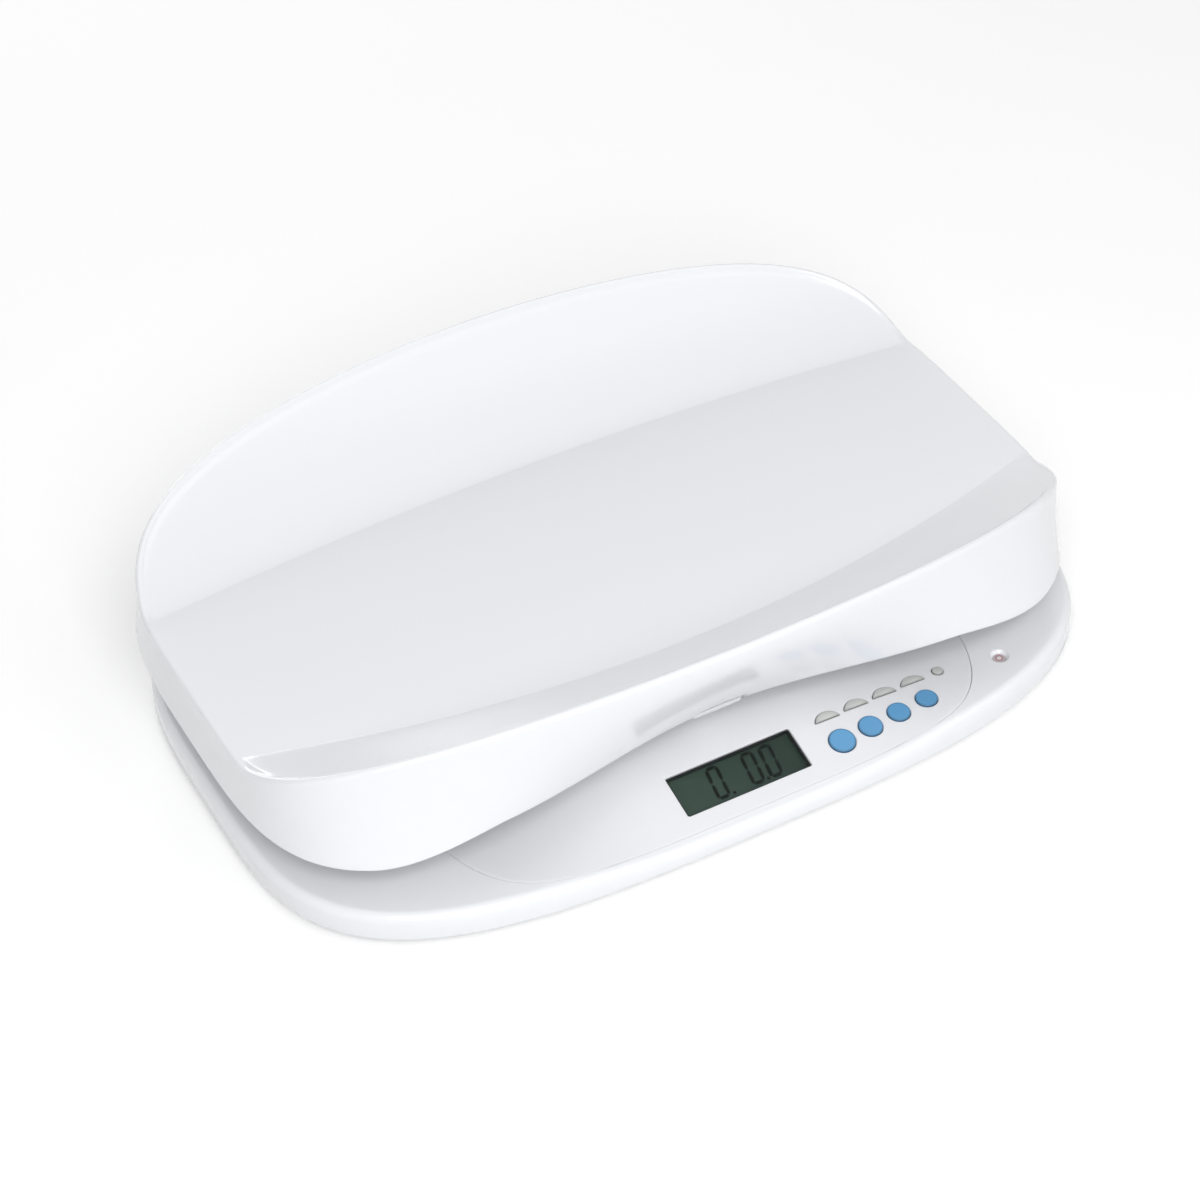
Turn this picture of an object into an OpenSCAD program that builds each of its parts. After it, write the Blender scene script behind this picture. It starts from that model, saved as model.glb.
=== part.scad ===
// Digital baby weighing scale.
// Origin: middle of the footprint, on the surface it stands on. +X to the right of
// someone reading the display, -Y towards them, +Z up. Millimetres.

/* [Base] */
// Width of the base, left to right
base_w = 554; // [550:1:558]
// Depth of the base, front to back
base_d = 372; // [368:1:376]
// Roundness of the base outline, as superellipse exponents across and along the depth
base_round = [3.2, 3.8]; // [3.1:0.1:4.2]
// Gap between the base and the surface it stands on
ground_gap = 5; // [4:0.5:6]
// Height of the flat shelf around the base
shelf_z = 24; // [22:0.5:26]
// Height of the raised middle, under the tray
plateau_z = 42; // [41:0.5:43]
// Wall thickness of the base housings
base_wall = 2.5; // [2:0.1:3]
// Radius of the edge between the base's side and its top
edge_r = 6; // [5:0.5:7]

/* [Console] */
// Height of the console surface at the middle of the display
console_z = 25.4; // [24:0.2:27]
// Distance of the middle of the display in front of the origin
display_y = -152.5; // [-154:0.5:-151]
// Rise of the console surface for each millimetre towards the back
console_slope = 0.26; // [0.24:0.01:0.28]
// Width of the display window
display_w = 84; // [80:1:88]
// Height of the display window, along the slope
display_h = 28.6; // [27:0.2:30]
// Diameters of the round blue keys, from left to right
round_key_d = [16.4, 14.8, 14.1, 13.6]; // [13:0.1:17]
// Distance from one key to the next
key_pitch = 20.8; // [20.2:0.1:21.2]
// Distance of the first column of keys from the middle
key_x = 67; // [66:0.2:68.5]
// Width of the half-moon keys
moon_key_w = 17.2; // [16:0.2:18]
// Height of the half-moon keys
moon_key_h = 5.6; // [5.2:0.2:6.4]
// Diameter of the small round key
small_key_d = 7; // [6.5:0.1:8]
// Travel of every key
key_travel = 1; // [0.8:0.1:1.2]
// Diameter of the bubble level
level_d = 8; // [7.4:0.2:8.8]

/* [Tray] */
// Width of the tray over its rim
tray_w = 544.4; // [541:0.2:547]
// Depth of the tray over its rim
tray_d = 346.4; // [344:0.2:348]
// How far the middle of the tray lies behind the middle of the base
tray_y = 12; // [11:0.5:13]
// Height of the tray's floor
floor_z = 84; // [82:0.5:86]
// Slope of the rim up to the middle of the front wall
front_rise = 0.48; // [0.45:0.01:0.54]
// Slope of the rim up to the middle of the back wall
back_rise = 0.61; // [0.56:0.01:0.64]
// Wall thickness of the tray
tray_wall = 3; // [2.5:0.1:3.5]
// Height of the skirt's lower edge at the ends
skirt_z = 46.5; // [45:0.5:48]
// Rise of the skirt's lower edge over the console
skirt_arch = 13; // [11:0.5:15]
// Width of the release lever's lip
lever_w = 33; // [30:1:36]

/* [Feet] */
// Diameter of the rubber foot pads
foot_d = 26; // [22:1:30]
// Distance of the feet from the middle, left and right
foot_x = 205; // [195:1:210]
// Distance of the feet from the middle, front and back
foot_y = 118; // [110:1:120]
// Diameter of the levelling screws
foot_screw_d = 8; // [6:1:8]

/* [Hidden] */
$fn = 48;

shell_white = "whitesmoke";
panel_grey = "gainsboro";
steel = "silver";
dark = "dimgray";
key_blue = "cornflowerblue";
key_grey = "darkgray";

// ---------- shape functions ----------

// Points round every closed outline
ring_n = 96;

// A smooth step from 0 to 1
function smooth(t) = let (u = min(1, max(0, t))) u * u * (3 - 2 * u);

// Distance from the centre to |x|^p + |y|^q = 1 along the direction (c, s), by Newton steps
function reach(p, q, c, s, r = 1, n = 10) = n == 0 ? r :
    let (u = pow(abs(r * c), p), v = pow(abs(r * s), q))
    reach(p, q, c, s, r - (u + v - 1) * r / (p * u + q * v), n - 1);

// Superellipse of half width a, half depths bf in front and bb behind, centred on y = cy
function outline(a, bf, bb, p, q, cy) = [for (j = [0:ring_n - 1])
    let (t = 360 * j / ring_n, c = cos(t), s = sin(t), r = reach(p, q, c, s))
    [r * a * c, cy + r * (s < 0 ? bf : bb) * s]];

// The outline moved inwards by d, square to itself
function inset(o, d) = [for (j = [0:len(o) - 1])
    let (n = len(o), u = o[(j + 1) % n] - o[(j + n - 1) % n]) o[j] + d * [-u[1], u[0]] / norm(u)];

// The outline drawn in towards [0, cy] to the share f of its size
function shrink(o, f, cy) = [for (p = o) [p[0] * f, cy + (p[1] - cy) * f]];

// Rings of points from pole to pole, closed into one solid
module skin(rings, pole_a, pole_b) {
    n = ring_n;
    m = len(rings);
    points = concat([for (r = rings) each r], [pole_a, pole_b]);
    bands = [for (k = [0:m - 2]) for (j = [0:n - 1])
        let (a = k * n + j, b = k * n + (j + 1) % n) each [[a, b, b + n], [a, b + n, a + n]]];
    cap_a = [for (j = [0:n - 1]) [m * n, (j + 1) % n, j]];
    cap_b = [for (j = [0:n - 1]) [m * n + 1, (m - 1) * n + j, (m - 1) * n + (j + 1) % n]];
    polyhedron(points, concat(bands, cap_a, cap_b), convexity = 8);
}

// ---------- base surface ----------

base_line = outline(base_w / 2, base_d / 2, base_d / 2, base_round[0], base_round[1], 0);

// The raised middle's share of its full height: sides, back and front ramps
side_from = 235;
side_ramp = 40;
back_from = 140;
back_ramp = 40;
front_from = -95;
front_ramp = 30;
// Half widths between which the console blends into the shelf
console_in = 45;
console_out = 165;

// Height of the base's top surface
function base_top(x, y) = let (
    sides = smooth((side_from - abs(x)) / side_ramp) * smooth((back_from - y) / back_ramp),
    middle = shelf_z + (plateau_z - shelf_z) * sides,
    shelf = shelf_z + (middle - shelf_z) * smooth((y - front_from) / front_ramp),
    slope = min(console_z + console_slope * (y - display_y), middle),
    w = 1 - smooth((abs(x) - console_in) / (console_out - console_in)))
    w * slope + (1 - w) * shelf;

// Heights of the side's lower lip and its widest line
lip_z = ground_gap;
widest_z = ground_gap + 2;

function at_z(o, z) = [for (p = o) [p[0], p[1], z]];
function on_top(o, drop) = [for (p = o) [p[0], p[1], base_top(p[0], p[1]) - drop]];

// One ring of the rounded edge, at the angle a from the side (0) to the top (90)
function edge_ring(a, t) = let (flat = inset(base_line, edge_r), out = inset(base_line,
    edge_r * (1 - cos(a)) + t * cos(a)))
    [for (j = [0:ring_n - 1]) [out[j][0], out[j][1],
        base_top(flat[j][0], flat[j][1]) - edge_r * (1 - sin(a)) - t * sin(a)]];

// Shares of the outline at which the top surface has rings, from the middle outwards
top_shares = [0.12, 0.25, 0.36, 0.46, 0.54, 0.6, 0.66, 0.71, 0.755, 0.8, 0.84, 0.88, 0.92, 0.95];
edge_steps = [90, 68, 45, 22, 0];

module base_shell() {
    flat = inset(base_line, edge_r);
    outer = concat([for (f = top_shares) on_top(shrink(flat, f, 0), 0)],
        [for (a = edge_steps) edge_ring(a, 0)],
        [at_z(base_line, widest_z), at_z(inset(base_line, 1.5), lip_z)]);
    inner = concat([at_z(inset(base_line, base_wall + 1), lip_z)],
        [for (i = [len(edge_steps) - 1:-1:0]) edge_ring(edge_steps[i], base_wall)],
        [for (i = [len(top_shares) - 1:-1:0]) on_top(shrink(flat, top_shares[i], 0), base_wall)]);
    skin(concat(outer, inner), [0, 0, plateau_z], [0, 0, plateau_z - base_wall]);
}

// ---------- console ----------

// Outline of the panel let into the console
panel_half_w = 180;
panel_y = -95;
panel_front = 83;
panel_back = 12;
panel_line = outline(panel_half_w, panel_front, panel_back, 7.7, 1.8, panel_y);
panel_gap = 0.3;

// Direction square to the console surface at a point, by differences over 1 mm
function normal(x, y) = let (
    gx = base_top(x + 0.5, y) - base_top(x - 0.5, y),
    gy = base_top(x, y + 0.5) - base_top(x, y - 0.5))
    [-gx, -gy, 1] / norm([gx, gy, 1]);

// Places its children on the base's surface, square to it
module on_console(x, y) {
    n = normal(x, y);
    translate([x, y, base_top(x, y)])
        rotate([0, acos(n[2]), atan2(n[1], n[0])])
            rotate([0, 0, -atan2(n[1], n[0])])
                children();
}

// Each row of keys turns a little towards the back from left to right
round_key_y = -159.6;
round_key_turn = 1.55;
moon_key_y = -140.3;
moon_key_turn = 1.05;
small_key_x = 148.2;
small_key_y = -138;
level_x = 188.1;
level_y = -145.8;
key_rise = 1;
key_gap = 0.35;
flange_t = 1;
cap_depth = base_wall + 0.9;
flange_out = 0.9;
stem_l = 2;

function round_at(i) = [key_x + key_pitch * i, round_key_y + round_key_turn * i];
function moon_at(i) = [key_x + key_pitch * i, moon_key_y + moon_key_turn * i];

// A half-moon: a round top over a flat lower side, wider by grow all round
module moon(grow) {
    w = moon_key_w / 2 + grow;
    r = (moon_key_h * moon_key_h + moon_key_w * moon_key_w / 4) / (2 * moon_key_h) + grow;
    intersection() {
        translate([0, moon_key_h / 2 - r + grow]) circle(r, $fn = 64);
        translate([-w, -moon_key_h / 2 - grow]) square([2 * w, moon_key_h + 2 * grow]);
    }
}

// A key: its cap, the flange that keeps it in, and the stem over its switch
module key_body() {
    translate([0, 0, -cap_depth - flange_t]) linear_extrude(cap_depth + flange_t + key_rise) children(0);
    translate([0, 0, -cap_depth - flange_t]) linear_extrude(flange_t) children(1);
    translate([0, 0, -cap_depth - flange_t - stem_l]) cylinder(d = 3, h = stem_l + flange_t / 2);
}

module round_key(i) {
    p = round_at(i);
    color(key_blue) on_console(p[0], p[1]) key_body() {
        circle(d = round_key_d[i]);
        circle(d = round_key_d[i] + 2 * flange_out);
    }
}

module moon_key(i) {
    p = moon_at(i);
    color(key_grey) on_console(p[0], p[1]) key_body() {
        moon(0);
        moon(flange_out);
    }
}

module small_key() {
    color(key_grey) on_console(small_key_x, small_key_y) key_body() {
        circle(d = small_key_d);
        circle(d = small_key_d + 2 * flange_out);
    }
}

module console_panel() {
    color(panel_grey) difference() {
        intersection() {
            base_shell();
            linear_extrude(plateau_z + 1) polygon(inset(panel_line, panel_gap));
        }
        on_console(0, display_y) display_block(lens_gap, -10, 10);
        for (i = [0:3]) {
            p = round_at(i);
            q = moon_at(i);
            on_console(p[0], p[1]) cylinder(d = round_key_d[i] + 2 * key_gap, h = 12, center = true);
            on_console(q[0], q[1]) translate([0, 0, -6]) linear_extrude(12) moon(key_gap);
        }
        on_console(small_key_x, small_key_y)
            cylinder(d = small_key_d + 2 * key_gap, h = 12, center = true);
    }
}

// ---------- base housings ----------

// Opening over the load cell's free end
cell_x = 45;
top_open = [56, 44];
inlet_x = 120;
inlet_y = 181.6;
inlet_size = [14, 13, 11];
inlet_z = 14.5;
screw_spots = [[-246, -60], [246, -60], [-246, 75], [246, 75], [-104, 166], [104, 166]];
boss_z = 9.1;
pan_t = 2.4;
pan_top = ground_gap + pan_t;
foot_spots = [[-foot_x, -foot_y], [foot_x, -foot_y], [foot_x, foot_y], [-foot_x, foot_y]];
insert_d = 14;
insert_z = [8, 20];

module at_each(spots) {
    for (p = spots) translate([p[0], p[1], 0]) children();
}

module base_top_housing() {
    color(shell_white) difference() {
        union() {
            base_shell();
            for (p = screw_spots) {
                top = base_top(p[0], p[1]) - base_wall / 2;
                translate([p[0], p[1], boss_z]) cylinder(d = 9, h = top - boss_z);
            }
        }
        linear_extrude(plateau_z + 1) polygon(panel_line);
        translate([cell_x, 0, plateau_z]) cube([top_open[0], top_open[1], 20], center = true);
        translate([level_x, level_y, 0]) cylinder(d = cup_d + 2 * cup_gap, h = plateau_z);
        translate([inlet_x, inlet_y, inlet_z]) cube(inlet_size + [0.6, 8, 0.6], center = true);
        at_each(screw_spots) cylinder(d = 2.8, h = 20);
    }
}

battery_x = -110;
battery_y = 98;
door_size = [112, 50];
door_gap = 0.5;

module base_bottom_pan() {
    color(shell_white) difference() {
        union() {
            translate([0, 0, ground_gap]) linear_extrude(pan_t) polygon(inset(base_line, 4));
            translate([0, 0, ground_gap]) linear_extrude(7) difference() {
                polygon(inset(base_line, 4));
                polygon(inset(base_line, 6));
            }
            at_each(screw_spots) translate([0, 0, ground_gap]) cylinder(d = 13, h = 4);
            at_each(foot_spots) translate([0, 0, ground_gap]) {
                cylinder(d = 36, h = 5.5);
                cylinder(d = insert_d + 6, h = 13);
            }
        }
        translate([battery_x, battery_y, ground_gap])
            cube([door_size[0], door_size[1], 20], center = true);
        translate([inlet_x, inlet_y, inlet_z]) cube(inlet_size + [0.6, 16, 0.2], center = true);
        at_each(screw_spots) {
            cylinder(d = 4, h = 20);
            cylinder(d = 7.2, h = ground_gap + 2.6);
        }
        at_each(foot_spots) {
            cylinder(d = foot_d + 4, h = insert_z[0]);
            cylinder(d = insert_d, h = 30);
        }
    }
}

module housing_screws() {
    color(steel) at_each(screw_spots) {
        translate([0, 0, ground_gap + 0.4]) cylinder(d = 6.6, h = 2.2);
        translate([0, 0, ground_gap + 2.6]) cylinder(d = 2.8, h = 10);
    }
}

// ---------- display ----------

lens_t = 1.2;
lens_sink = 0.3;
// Gap round the window in its opening
lens_gap = 0.2;
// Width of the ledge that the window rests on
ledge = 0.8;
// Depths of the panel's underside, the display's face and the holder's lower edge
panel_under = base_wall + 0.1;
lcd_face = 4.6;
holder_depth = 8.8;
lcd_t = 2.8;
lcd_size = [88, 32.6];
holder_rim = 5.5;

// A block in the display's opening, grown by g all round, from the depth a down to b
module display_block(g, a, b) {
    translate([0, 0, -(a + b) / 2]) cube([display_w + 2 * g, display_h + 2 * g, b - a], center = true);
}

module display_window() {
    color("lightsteelblue", 0.5) on_console(0, display_y) display_block(0, lens_sink, lens_sink + lens_t);
}

module lcd_module() {
    color("darkslategray") on_console(0, display_y) translate([0, 0, -lcd_face - lcd_t / 2])
        cube([lcd_size[0], lcd_size[1], lcd_t], center = true);
}

module lcd_holder() {
    color(dark) on_console(0, display_y) difference() {
        union() {
            display_block(0, lens_sink + lens_t, panel_under);
            display_block(holder_rim, panel_under, holder_depth);
        }
        display_block(-ledge, 0, lcd_face);
        translate([0, 0, -(lcd_face + holder_depth + 1) / 2])
            cube([lcd_size[0] + 0.4, lcd_size[1] + 0.4, holder_depth + 1 - lcd_face], center = true);
    }
}

// ---------- circuit boards and wiring ----------

board_t = 1.6;
main_board = [92, 56];
main_board_at = [-108, -128];
key_board_at = [100.5, -149];
// A key at rest stands this far above its switch, beyond its travel
key_play = 0.2;
switch_top = cap_depth + flange_t + stem_l + key_travel + key_play;
plunger_h = 1;
key_board_depth = 12.4;

module main_circuit_board() {
    color("forestgreen") translate([main_board_at[0], main_board_at[1], pan_top + 3]) {
        linear_extrude(board_t) square(main_board, center = true);
        for (x = [-38, 38]) for (y = [-22, 22]) translate([x, y, -3]) cylinder(d = 6, h = 3);
        translate([-12, 4, board_t]) cube([14, 14, 1.6]);
        translate([14, -16, board_t]) cube([9, 9, 1.2]);
        translate([30, 14, board_t]) cube([12, 5, 4]);
        translate([-40, -14, board_t]) cube([5, 16, 4]);
    }
}

module key_switch_board() {
    color("forestgreen") on_console(key_board_at[0], key_board_at[1])
        translate([0, 0, -key_board_depth - board_t / 2]) cube([104, 34, board_t], center = true);
}

module key_switches() {
    places = [for (i = [0:3]) each [round_at(i), moon_at(i)], [small_key_x, small_key_y]];
    color(dark) difference() {
        for (p = places) on_console(p[0], p[1]) {
            translate([0, 0, -switch_top - plunger_h]) cylinder(d = 3.4, h = plunger_h);
            translate([0, 0, -switch_top - plunger_h - 4]) cube([6, 6, 8], center = true);
        }
        on_console(key_board_at[0], key_board_at[1])
            translate([0, 0, -key_board_depth - 10]) cube([140, 80, 20], center = true);
    }
}

wire_sides = 8;

// A round wire swept through a list of points, mitred at each
module wire(points, d) {
    m = len(points);
    up = [0, 0, 1];
    rings = [for (i = [0:m - 1]) let (
        before = i == 0 ? points[1] - points[0] : points[i] - points[i - 1],
        after = i == m - 1 ? before : points[i + 1] - points[i],
        along = before / norm(before) + after / norm(after),
        w = along / norm(along),
        across = cross(up, w),
        u = across / norm(across),
        v = cross(w, u))
        for (k = [0:wire_sides - 1]) let (a = 360 * k / wire_sides)
            points[i] + d / 2 * (cos(a) * u + sin(a) * v)];
    bands = [for (i = [0:m - 2]) for (k = [0:wire_sides - 1]) let (
        a = i * wire_sides + k, b = i * wire_sides + (k + 1) % wire_sides)
        each [[a, a + wire_sides, b + wire_sides], [a, b + wire_sides, b]]];
    first = [[for (k = [0:wire_sides - 1]) k]];
    last = [[for (k = [wire_sides - 1:-1:0]) (m - 1) * wire_sides + k]];
    polyhedron(rings, concat(bands, first, last));
}

module sensor_cable() {
    color(shell_white)
        wire([[-10, -15.2, 24], [-10, -26, 24], [-30, -75, 14], [-72, -92, 14], [-72, -108.8, 14]], 3.6);
}

module display_cable() {
    color(dark) wire([[-48.4, -148, 18], [-52, -144, 18], [-58, -138, 13.8], [-61.5, -134, 13.8]], 2.4);
}

module power_cable() {
    color(dark) wire([[inlet_x, inlet_y - inlet_size[1] - 0.2, 14], [inlet_x, 150, 12], [116, 68, 12], [-200, 62, 12],
        [-205, -60, 12], [-160, -124, 14], [-148.2, -132, 14]], 3);
}

// ---------- bubble level ----------

cup_gap = 0.05;
cup_top = shelf_z;
vial_top = cup_top - 1.7;
cup_bottom = cup_top - 10;
cup_floor = 1;
mouth_d = 11.6;
cup_d = 12.4;

// A cup let into the shelf, flared above the vial
module level_bezel() {
    color(shell_white) translate([level_x, level_y, 0]) difference() {
        translate([0, 0, cup_bottom]) cylinder(d = cup_d, h = cup_top - cup_bottom);
        translate([0, 0, cup_bottom + cup_floor]) cylinder(d = level_d + 2 * cup_gap, h = 20);
        translate([0, 0, vial_top]) cylinder(d1 = level_d + 2 * cup_gap, d2 = mouth_d, h = cup_top - vial_top);
    }
}

module level_vial() {
    color("honeydew", 0.6) translate([level_x, level_y, cup_bottom + cup_floor])
        cylinder(d = level_d, h = vial_top - cup_bottom - cup_floor);
}

module level_ring() {
    color("indianred") translate([level_x, level_y, vial_top]) linear_extrude(0.15) difference() {
        circle(d = 4.8);
        circle(d = 3.8);
    }
}

// ---------- load cell ----------

cell = [130, 30, 22];
cell_z = 13.5;
cell_top = cell_z + cell[2];
cell_end = 45;
bolt_pitch = 25;
plate = [170, 96, 2.8];
m6 = 6;
bolt_gap = 0.1;

module cell_bolts_at(x) {
    for (s = [-1, 1]) translate([x + s * bolt_pitch / 2, 0, 0]) children();
}

module load_cell() {
    color(steel) difference() {
        translate([0, 0, cell_z + cell[2] / 2]) cube(cell, center = true);
        for (x = [-10, 10]) translate([x, 0, cell_z + cell[2] / 2]) rotate([90, 0, 0])
            cylinder(r = 8, h = 40, center = true);
        translate([0, 0, cell_z + cell[2] / 2]) cube([20, 40, 4], center = true);
        cell_bolts_at(-cell_end) cylinder(d = m6, h = 60);
        cell_bolts_at(cell_end) cylinder(d = m6 + bolt_gap, h = 60);
    }
}

module load_cell_plate() {
    color(dark) difference() {
        translate([0, 0, pan_top + plate[2] / 2]) cube(plate, center = true);
        cell_bolts_at(-cell_end) cylinder(d = m6, h = 60);
        for (x = [40, 60]) translate([x, 0, 0]) cylinder(d = 5, h = 60);
    }
}

module load_cell_packer() {
    color(steel) difference() {
        translate([-cell_end, 0, (pan_top + plate[2] + cell_z) / 2])
            cube([40, cell[1], cell_z - pan_top - plate[2]], center = true);
        cell_bolts_at(-cell_end) cylinder(d = m6, h = 60);
    }
}

module load_cell_bolts() {
    color(dark) cell_bolts_at(-cell_end) {
        translate([0, 0, pan_top + 0.2]) cylinder(d = m6, h = cell_top - pan_top - 0.2);
        translate([0, 0, cell_top]) cylinder(d = 11, h = 3.2);
    }
}

stop_gap = 1;

module overload_stops() {
    color(steel) for (x = [40, 60]) translate([x, 0, 0]) {
        translate([0, 0, pan_top + 0.2]) cylinder(d = 5, h = plate[2] - 0.2);
        translate([0, 0, pan_top + plate[2]]) cylinder(d = 8, h = cell_z - pan_top - plate[2] - stop_gap);
    }
}

// ---------- batteries ----------

cell_d = 14.5;
aa_l = 50;
row_pitch = 15.4;
box_wall = 2;
box_top = 26;
// Batteries lie in three rows of two, along X
rows = [-1, 0, 1];

module in_battery_box() {
    translate([battery_x, battery_y, 0]) children();
}

module battery_box() {
    w = door_size[0];
    d = door_size[1];
    color(panel_grey) in_battery_box() difference() {
        translate([-w / 2 - box_wall, -d / 2 - box_wall, pan_top])
            cube([w + 2 * box_wall, d + 2 * box_wall, box_top - pan_top]);
        translate([-w / 2, -d / 2, 0]) cube([w, d, box_top - box_wall]);
    }
}

module batteries() {
    color(dark) in_battery_box() for (r = rows) for (s = [-1, 1])
        translate([s * (aa_l / 2 + 0.6) - aa_l / 2, r * row_pitch, pan_top + 1 + cell_d / 2])
            rotate([0, 90, 0]) {
                cylinder(d = cell_d, h = aa_l - 1.5);
                translate([0, 0, aa_l - 1.5]) cylinder(d = 5.4, h = 1.5);
            }
}

module battery_contacts() {
    w = door_size[0] / 2;
    color(steel) in_battery_box() for (s = [-1, 1]) {
        for (r = rows) {
            translate([s * (w - 0.4), r * row_pitch, pan_top + 1 + cell_d / 2])
                cube([0.8, 10, 10], center = true);
            translate([s * (w - 0.8) - (s > 0 ? 4.2 : 0), r * row_pitch, pan_top + 1 + cell_d / 2])
                rotate([0, 90, 0]) cylinder(d = s > 0 ? 4.4 : 7, h = 4.2);
        }
    }
}

module battery_door() {
    size = [door_size[0] - 2 * door_gap, door_size[1] - 2 * door_gap, pan_t - 0.2];
    color(shell_white) in_battery_box() difference() {
        translate([-size[0] / 2, -size[1] / 2, ground_gap]) cube(size);
        translate([0, -size[1] / 2 + 6, ground_gap]) cube([24, 4, 2], center = true);
    }
}

// ---------- inlet ----------

module inlet_socket() {
    color(dark) translate([inlet_x, inlet_y, inlet_z]) difference() {
        translate([0, -inlet_size[1] / 2 - 0.1, 0]) cube(inlet_size, center = true);
        translate([0, -9, 0]) rotate([-90, 0, 0]) difference() {
            cylinder(d = 6.2, h = 12);
            cylinder(d = 2, h = 8);
        }
    }
}

// ---------- feet ----------

pad_t = 3.4;
head_t = 3;

module foot_inserts() {
    color("goldenrod") at_each(foot_spots) translate([0, 0, insert_z[0]]) difference() {
        cylinder(d = insert_d, h = insert_z[1] - insert_z[0]);
        translate([0, 0, -1]) cylinder(d = foot_screw_d + 0.1, h = 30);
    }
}

module foot_pad(k) {
    color(dark) translate([foot_spots[k - 1][0], foot_spots[k - 1][1], 0]) cylinder(d = foot_d, h = pad_t);
}

module foot_screw(k) {
    color(steel) translate([foot_spots[k - 1][0], foot_spots[k - 1][1], pad_t]) {
        cylinder(d = foot_d - 2, h = head_t);
        cylinder(d = foot_screw_d, h = 20 - pad_t);
    }
}

// ---------- platform ----------

frame_z = 45.5;
beam_h = 10;
support_x = 165;
support_y = [-48, 72];
support_spots = [for (x = [-1, 1]) for (y = support_y) [x * support_x, y]];
pad_h = 4;
pillar_d = 28;
floor_under = floor_z - tray_wall;
catch_y = -97;
catch_w = 14;

module platform_spacer() {
    color(steel) difference() {
        translate([cell_end, 0, (cell_top + frame_z) / 2]) cube([40, cell[1], frame_z - cell_top], center = true);
        cell_bolts_at(cell_end) cylinder(d = m6, h = 60);
    }
}

module platform_frame() {
    beam_y = [-30, 54];
    color(steel) difference() {
        union() {
            translate([-35, -26, frame_z]) cube([120, 76, 5]);
            for (y = beam_y) translate([-support_x, y - 10, frame_z]) cube([2 * support_x, 20, beam_h]);
            for (s = [-1, 1]) translate([s * support_x - 12, support_y[0] - 14, frame_z])
                cube([24, support_y[1] - support_y[0] + 28, beam_h]);
            at_each(support_spots) translate([0, 0, frame_z])
                cylinder(d = pillar_d, h = floor_under - pad_h - frame_z);
            translate([-catch_w / 2, catch_y, frame_z]) cube([catch_w, -30 - catch_y, 3.5]);
            translate([-catch_w / 2, catch_y, frame_z]) cube([catch_w, 3.5, 7.5]);
        }
        cell_bolts_at(cell_end) cylinder(d = m6, h = 60);
    }
}

module platform_bolts() {
    color(dark) cell_bolts_at(cell_end) {
        translate([0, 0, cell_z + 4]) cylinder(d = m6, h = frame_z + 5 - cell_z - 4);
        translate([0, 0, frame_z + 5]) cylinder(d = 11, h = 3.2);
    }
}

module support_pads() {
    color(dark) at_each(support_spots) translate([0, 0, floor_under - pad_h]) cylinder(d = pillar_d, h = pad_h);
}

// ---------- tray ----------

rim_p = 1.92;
rim_q = 5.18;
rim_line = outline(tray_w / 2, tray_d / 2, tray_d / 2, rim_p, rim_q, tray_y);
skirt_line = outline(275.8, 165, 177.8, 5.8, 3.5, tray_y);
// Where the walls leave the floor: at the middle of the tray, and how far that shifts at its ends
front_crease = [-92.8, 44.1];
back_crease = [99.4, -17.2];
// How the walls rise from their creases: 1 is straight, more is hollow
front_bend = 1.1;
back_bend = 1.3;
// Where the rim starts to rise, at the ends
front_start = -56.5;
back_start = 85;
start_r = 5.5;
rim_in = 5;

function soft(d) = d > 0 ? sqrt(d * d + start_r * start_r) - start_r : 0;
function rim_rise(y) = front_rise * soft(front_start - y) + back_rise * soft(y - back_start);

// The rim's distance from the origin along Y at x, in front (side -1) or behind (side 1)
function rim_y(x, side) =
    tray_y + side * tray_d / 2 * pow(max(0, 1 - pow(min(1, 2 * abs(x) / tray_w), rim_p)), 1 / rim_q);

function wall_rise(x, y, side, crease, bend) = let (
    c = crease[0] + crease[1] * pow(2 * x / tray_w, 2),
    full = side * (rim_y(x, side) - c),
    d = side * (y - c))
    full < 1 || d <= 0 ? 0 : rim_rise(rim_y(x, side)) * pow(min(1, d / full), bend);

// Height of the tray's inside
function tray_top(x, y) =
    floor_z + wall_rise(x, y, -1, front_crease, front_bend) + wall_rise(x, y, 1, back_crease, back_bend);

function on_tray(o, drop) = [for (p = o) [p[0], p[1], tray_top(p[0], p[1]) - drop]];

// A ring along the rounded rim, d in from its outside and drop below its crest
function rim_ring(d, drop) = let (o = inset(rim_line, d))
    [for (j = [0:ring_n - 1]) [o[j][0], o[j][1], floor_z + rim_rise(rim_line[j][1]) - drop]];

// How far the skirt's lower edge is drawn back and raised over the console
arch_back = 23.2;
arch_half = 182;
arch_from = 228;
arch_ramp = 82;
crest_drop = 3.5;

// A ring round the skirt at the share t of its height, d inside its outer face
function skirt_ring(t, d) = let (top = inset(rim_line, d), foot = inset(skirt_line, d))
    [for (j = [0:ring_n - 1]) let (
        x = abs(skirt_line[j][0]),
        front = skirt_line[j][1] < tray_y ? 1 : 0,
        fy = foot[j][1] + front * arch_back * smooth(1 - x / arch_half),
        fz = skirt_z + front * skirt_arch * smooth((arch_from - x) / arch_ramp),
        tz = floor_z + rim_rise(rim_line[j][1]) - crest_drop,
        u = pow(t, 1.5))
        [top[j][0] + (foot[j][0] - top[j][0]) * u, top[j][1] + (fy - top[j][1]) * u, tz + (fz - tz) * t]];

tray_shares = [0.12, 0.25, 0.38, 0.5, 0.58, 0.66, 0.73, 0.79, 0.85, 0.9, 0.95, 1];
skirt_shares = [0, 0.12, 0.3, 0.5, 0.7, 0.87, 1];

// Notch in the skirt over the lever's lip: its width and the height of its top
notch_w = 34.6;
notch_z = 63;

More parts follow.
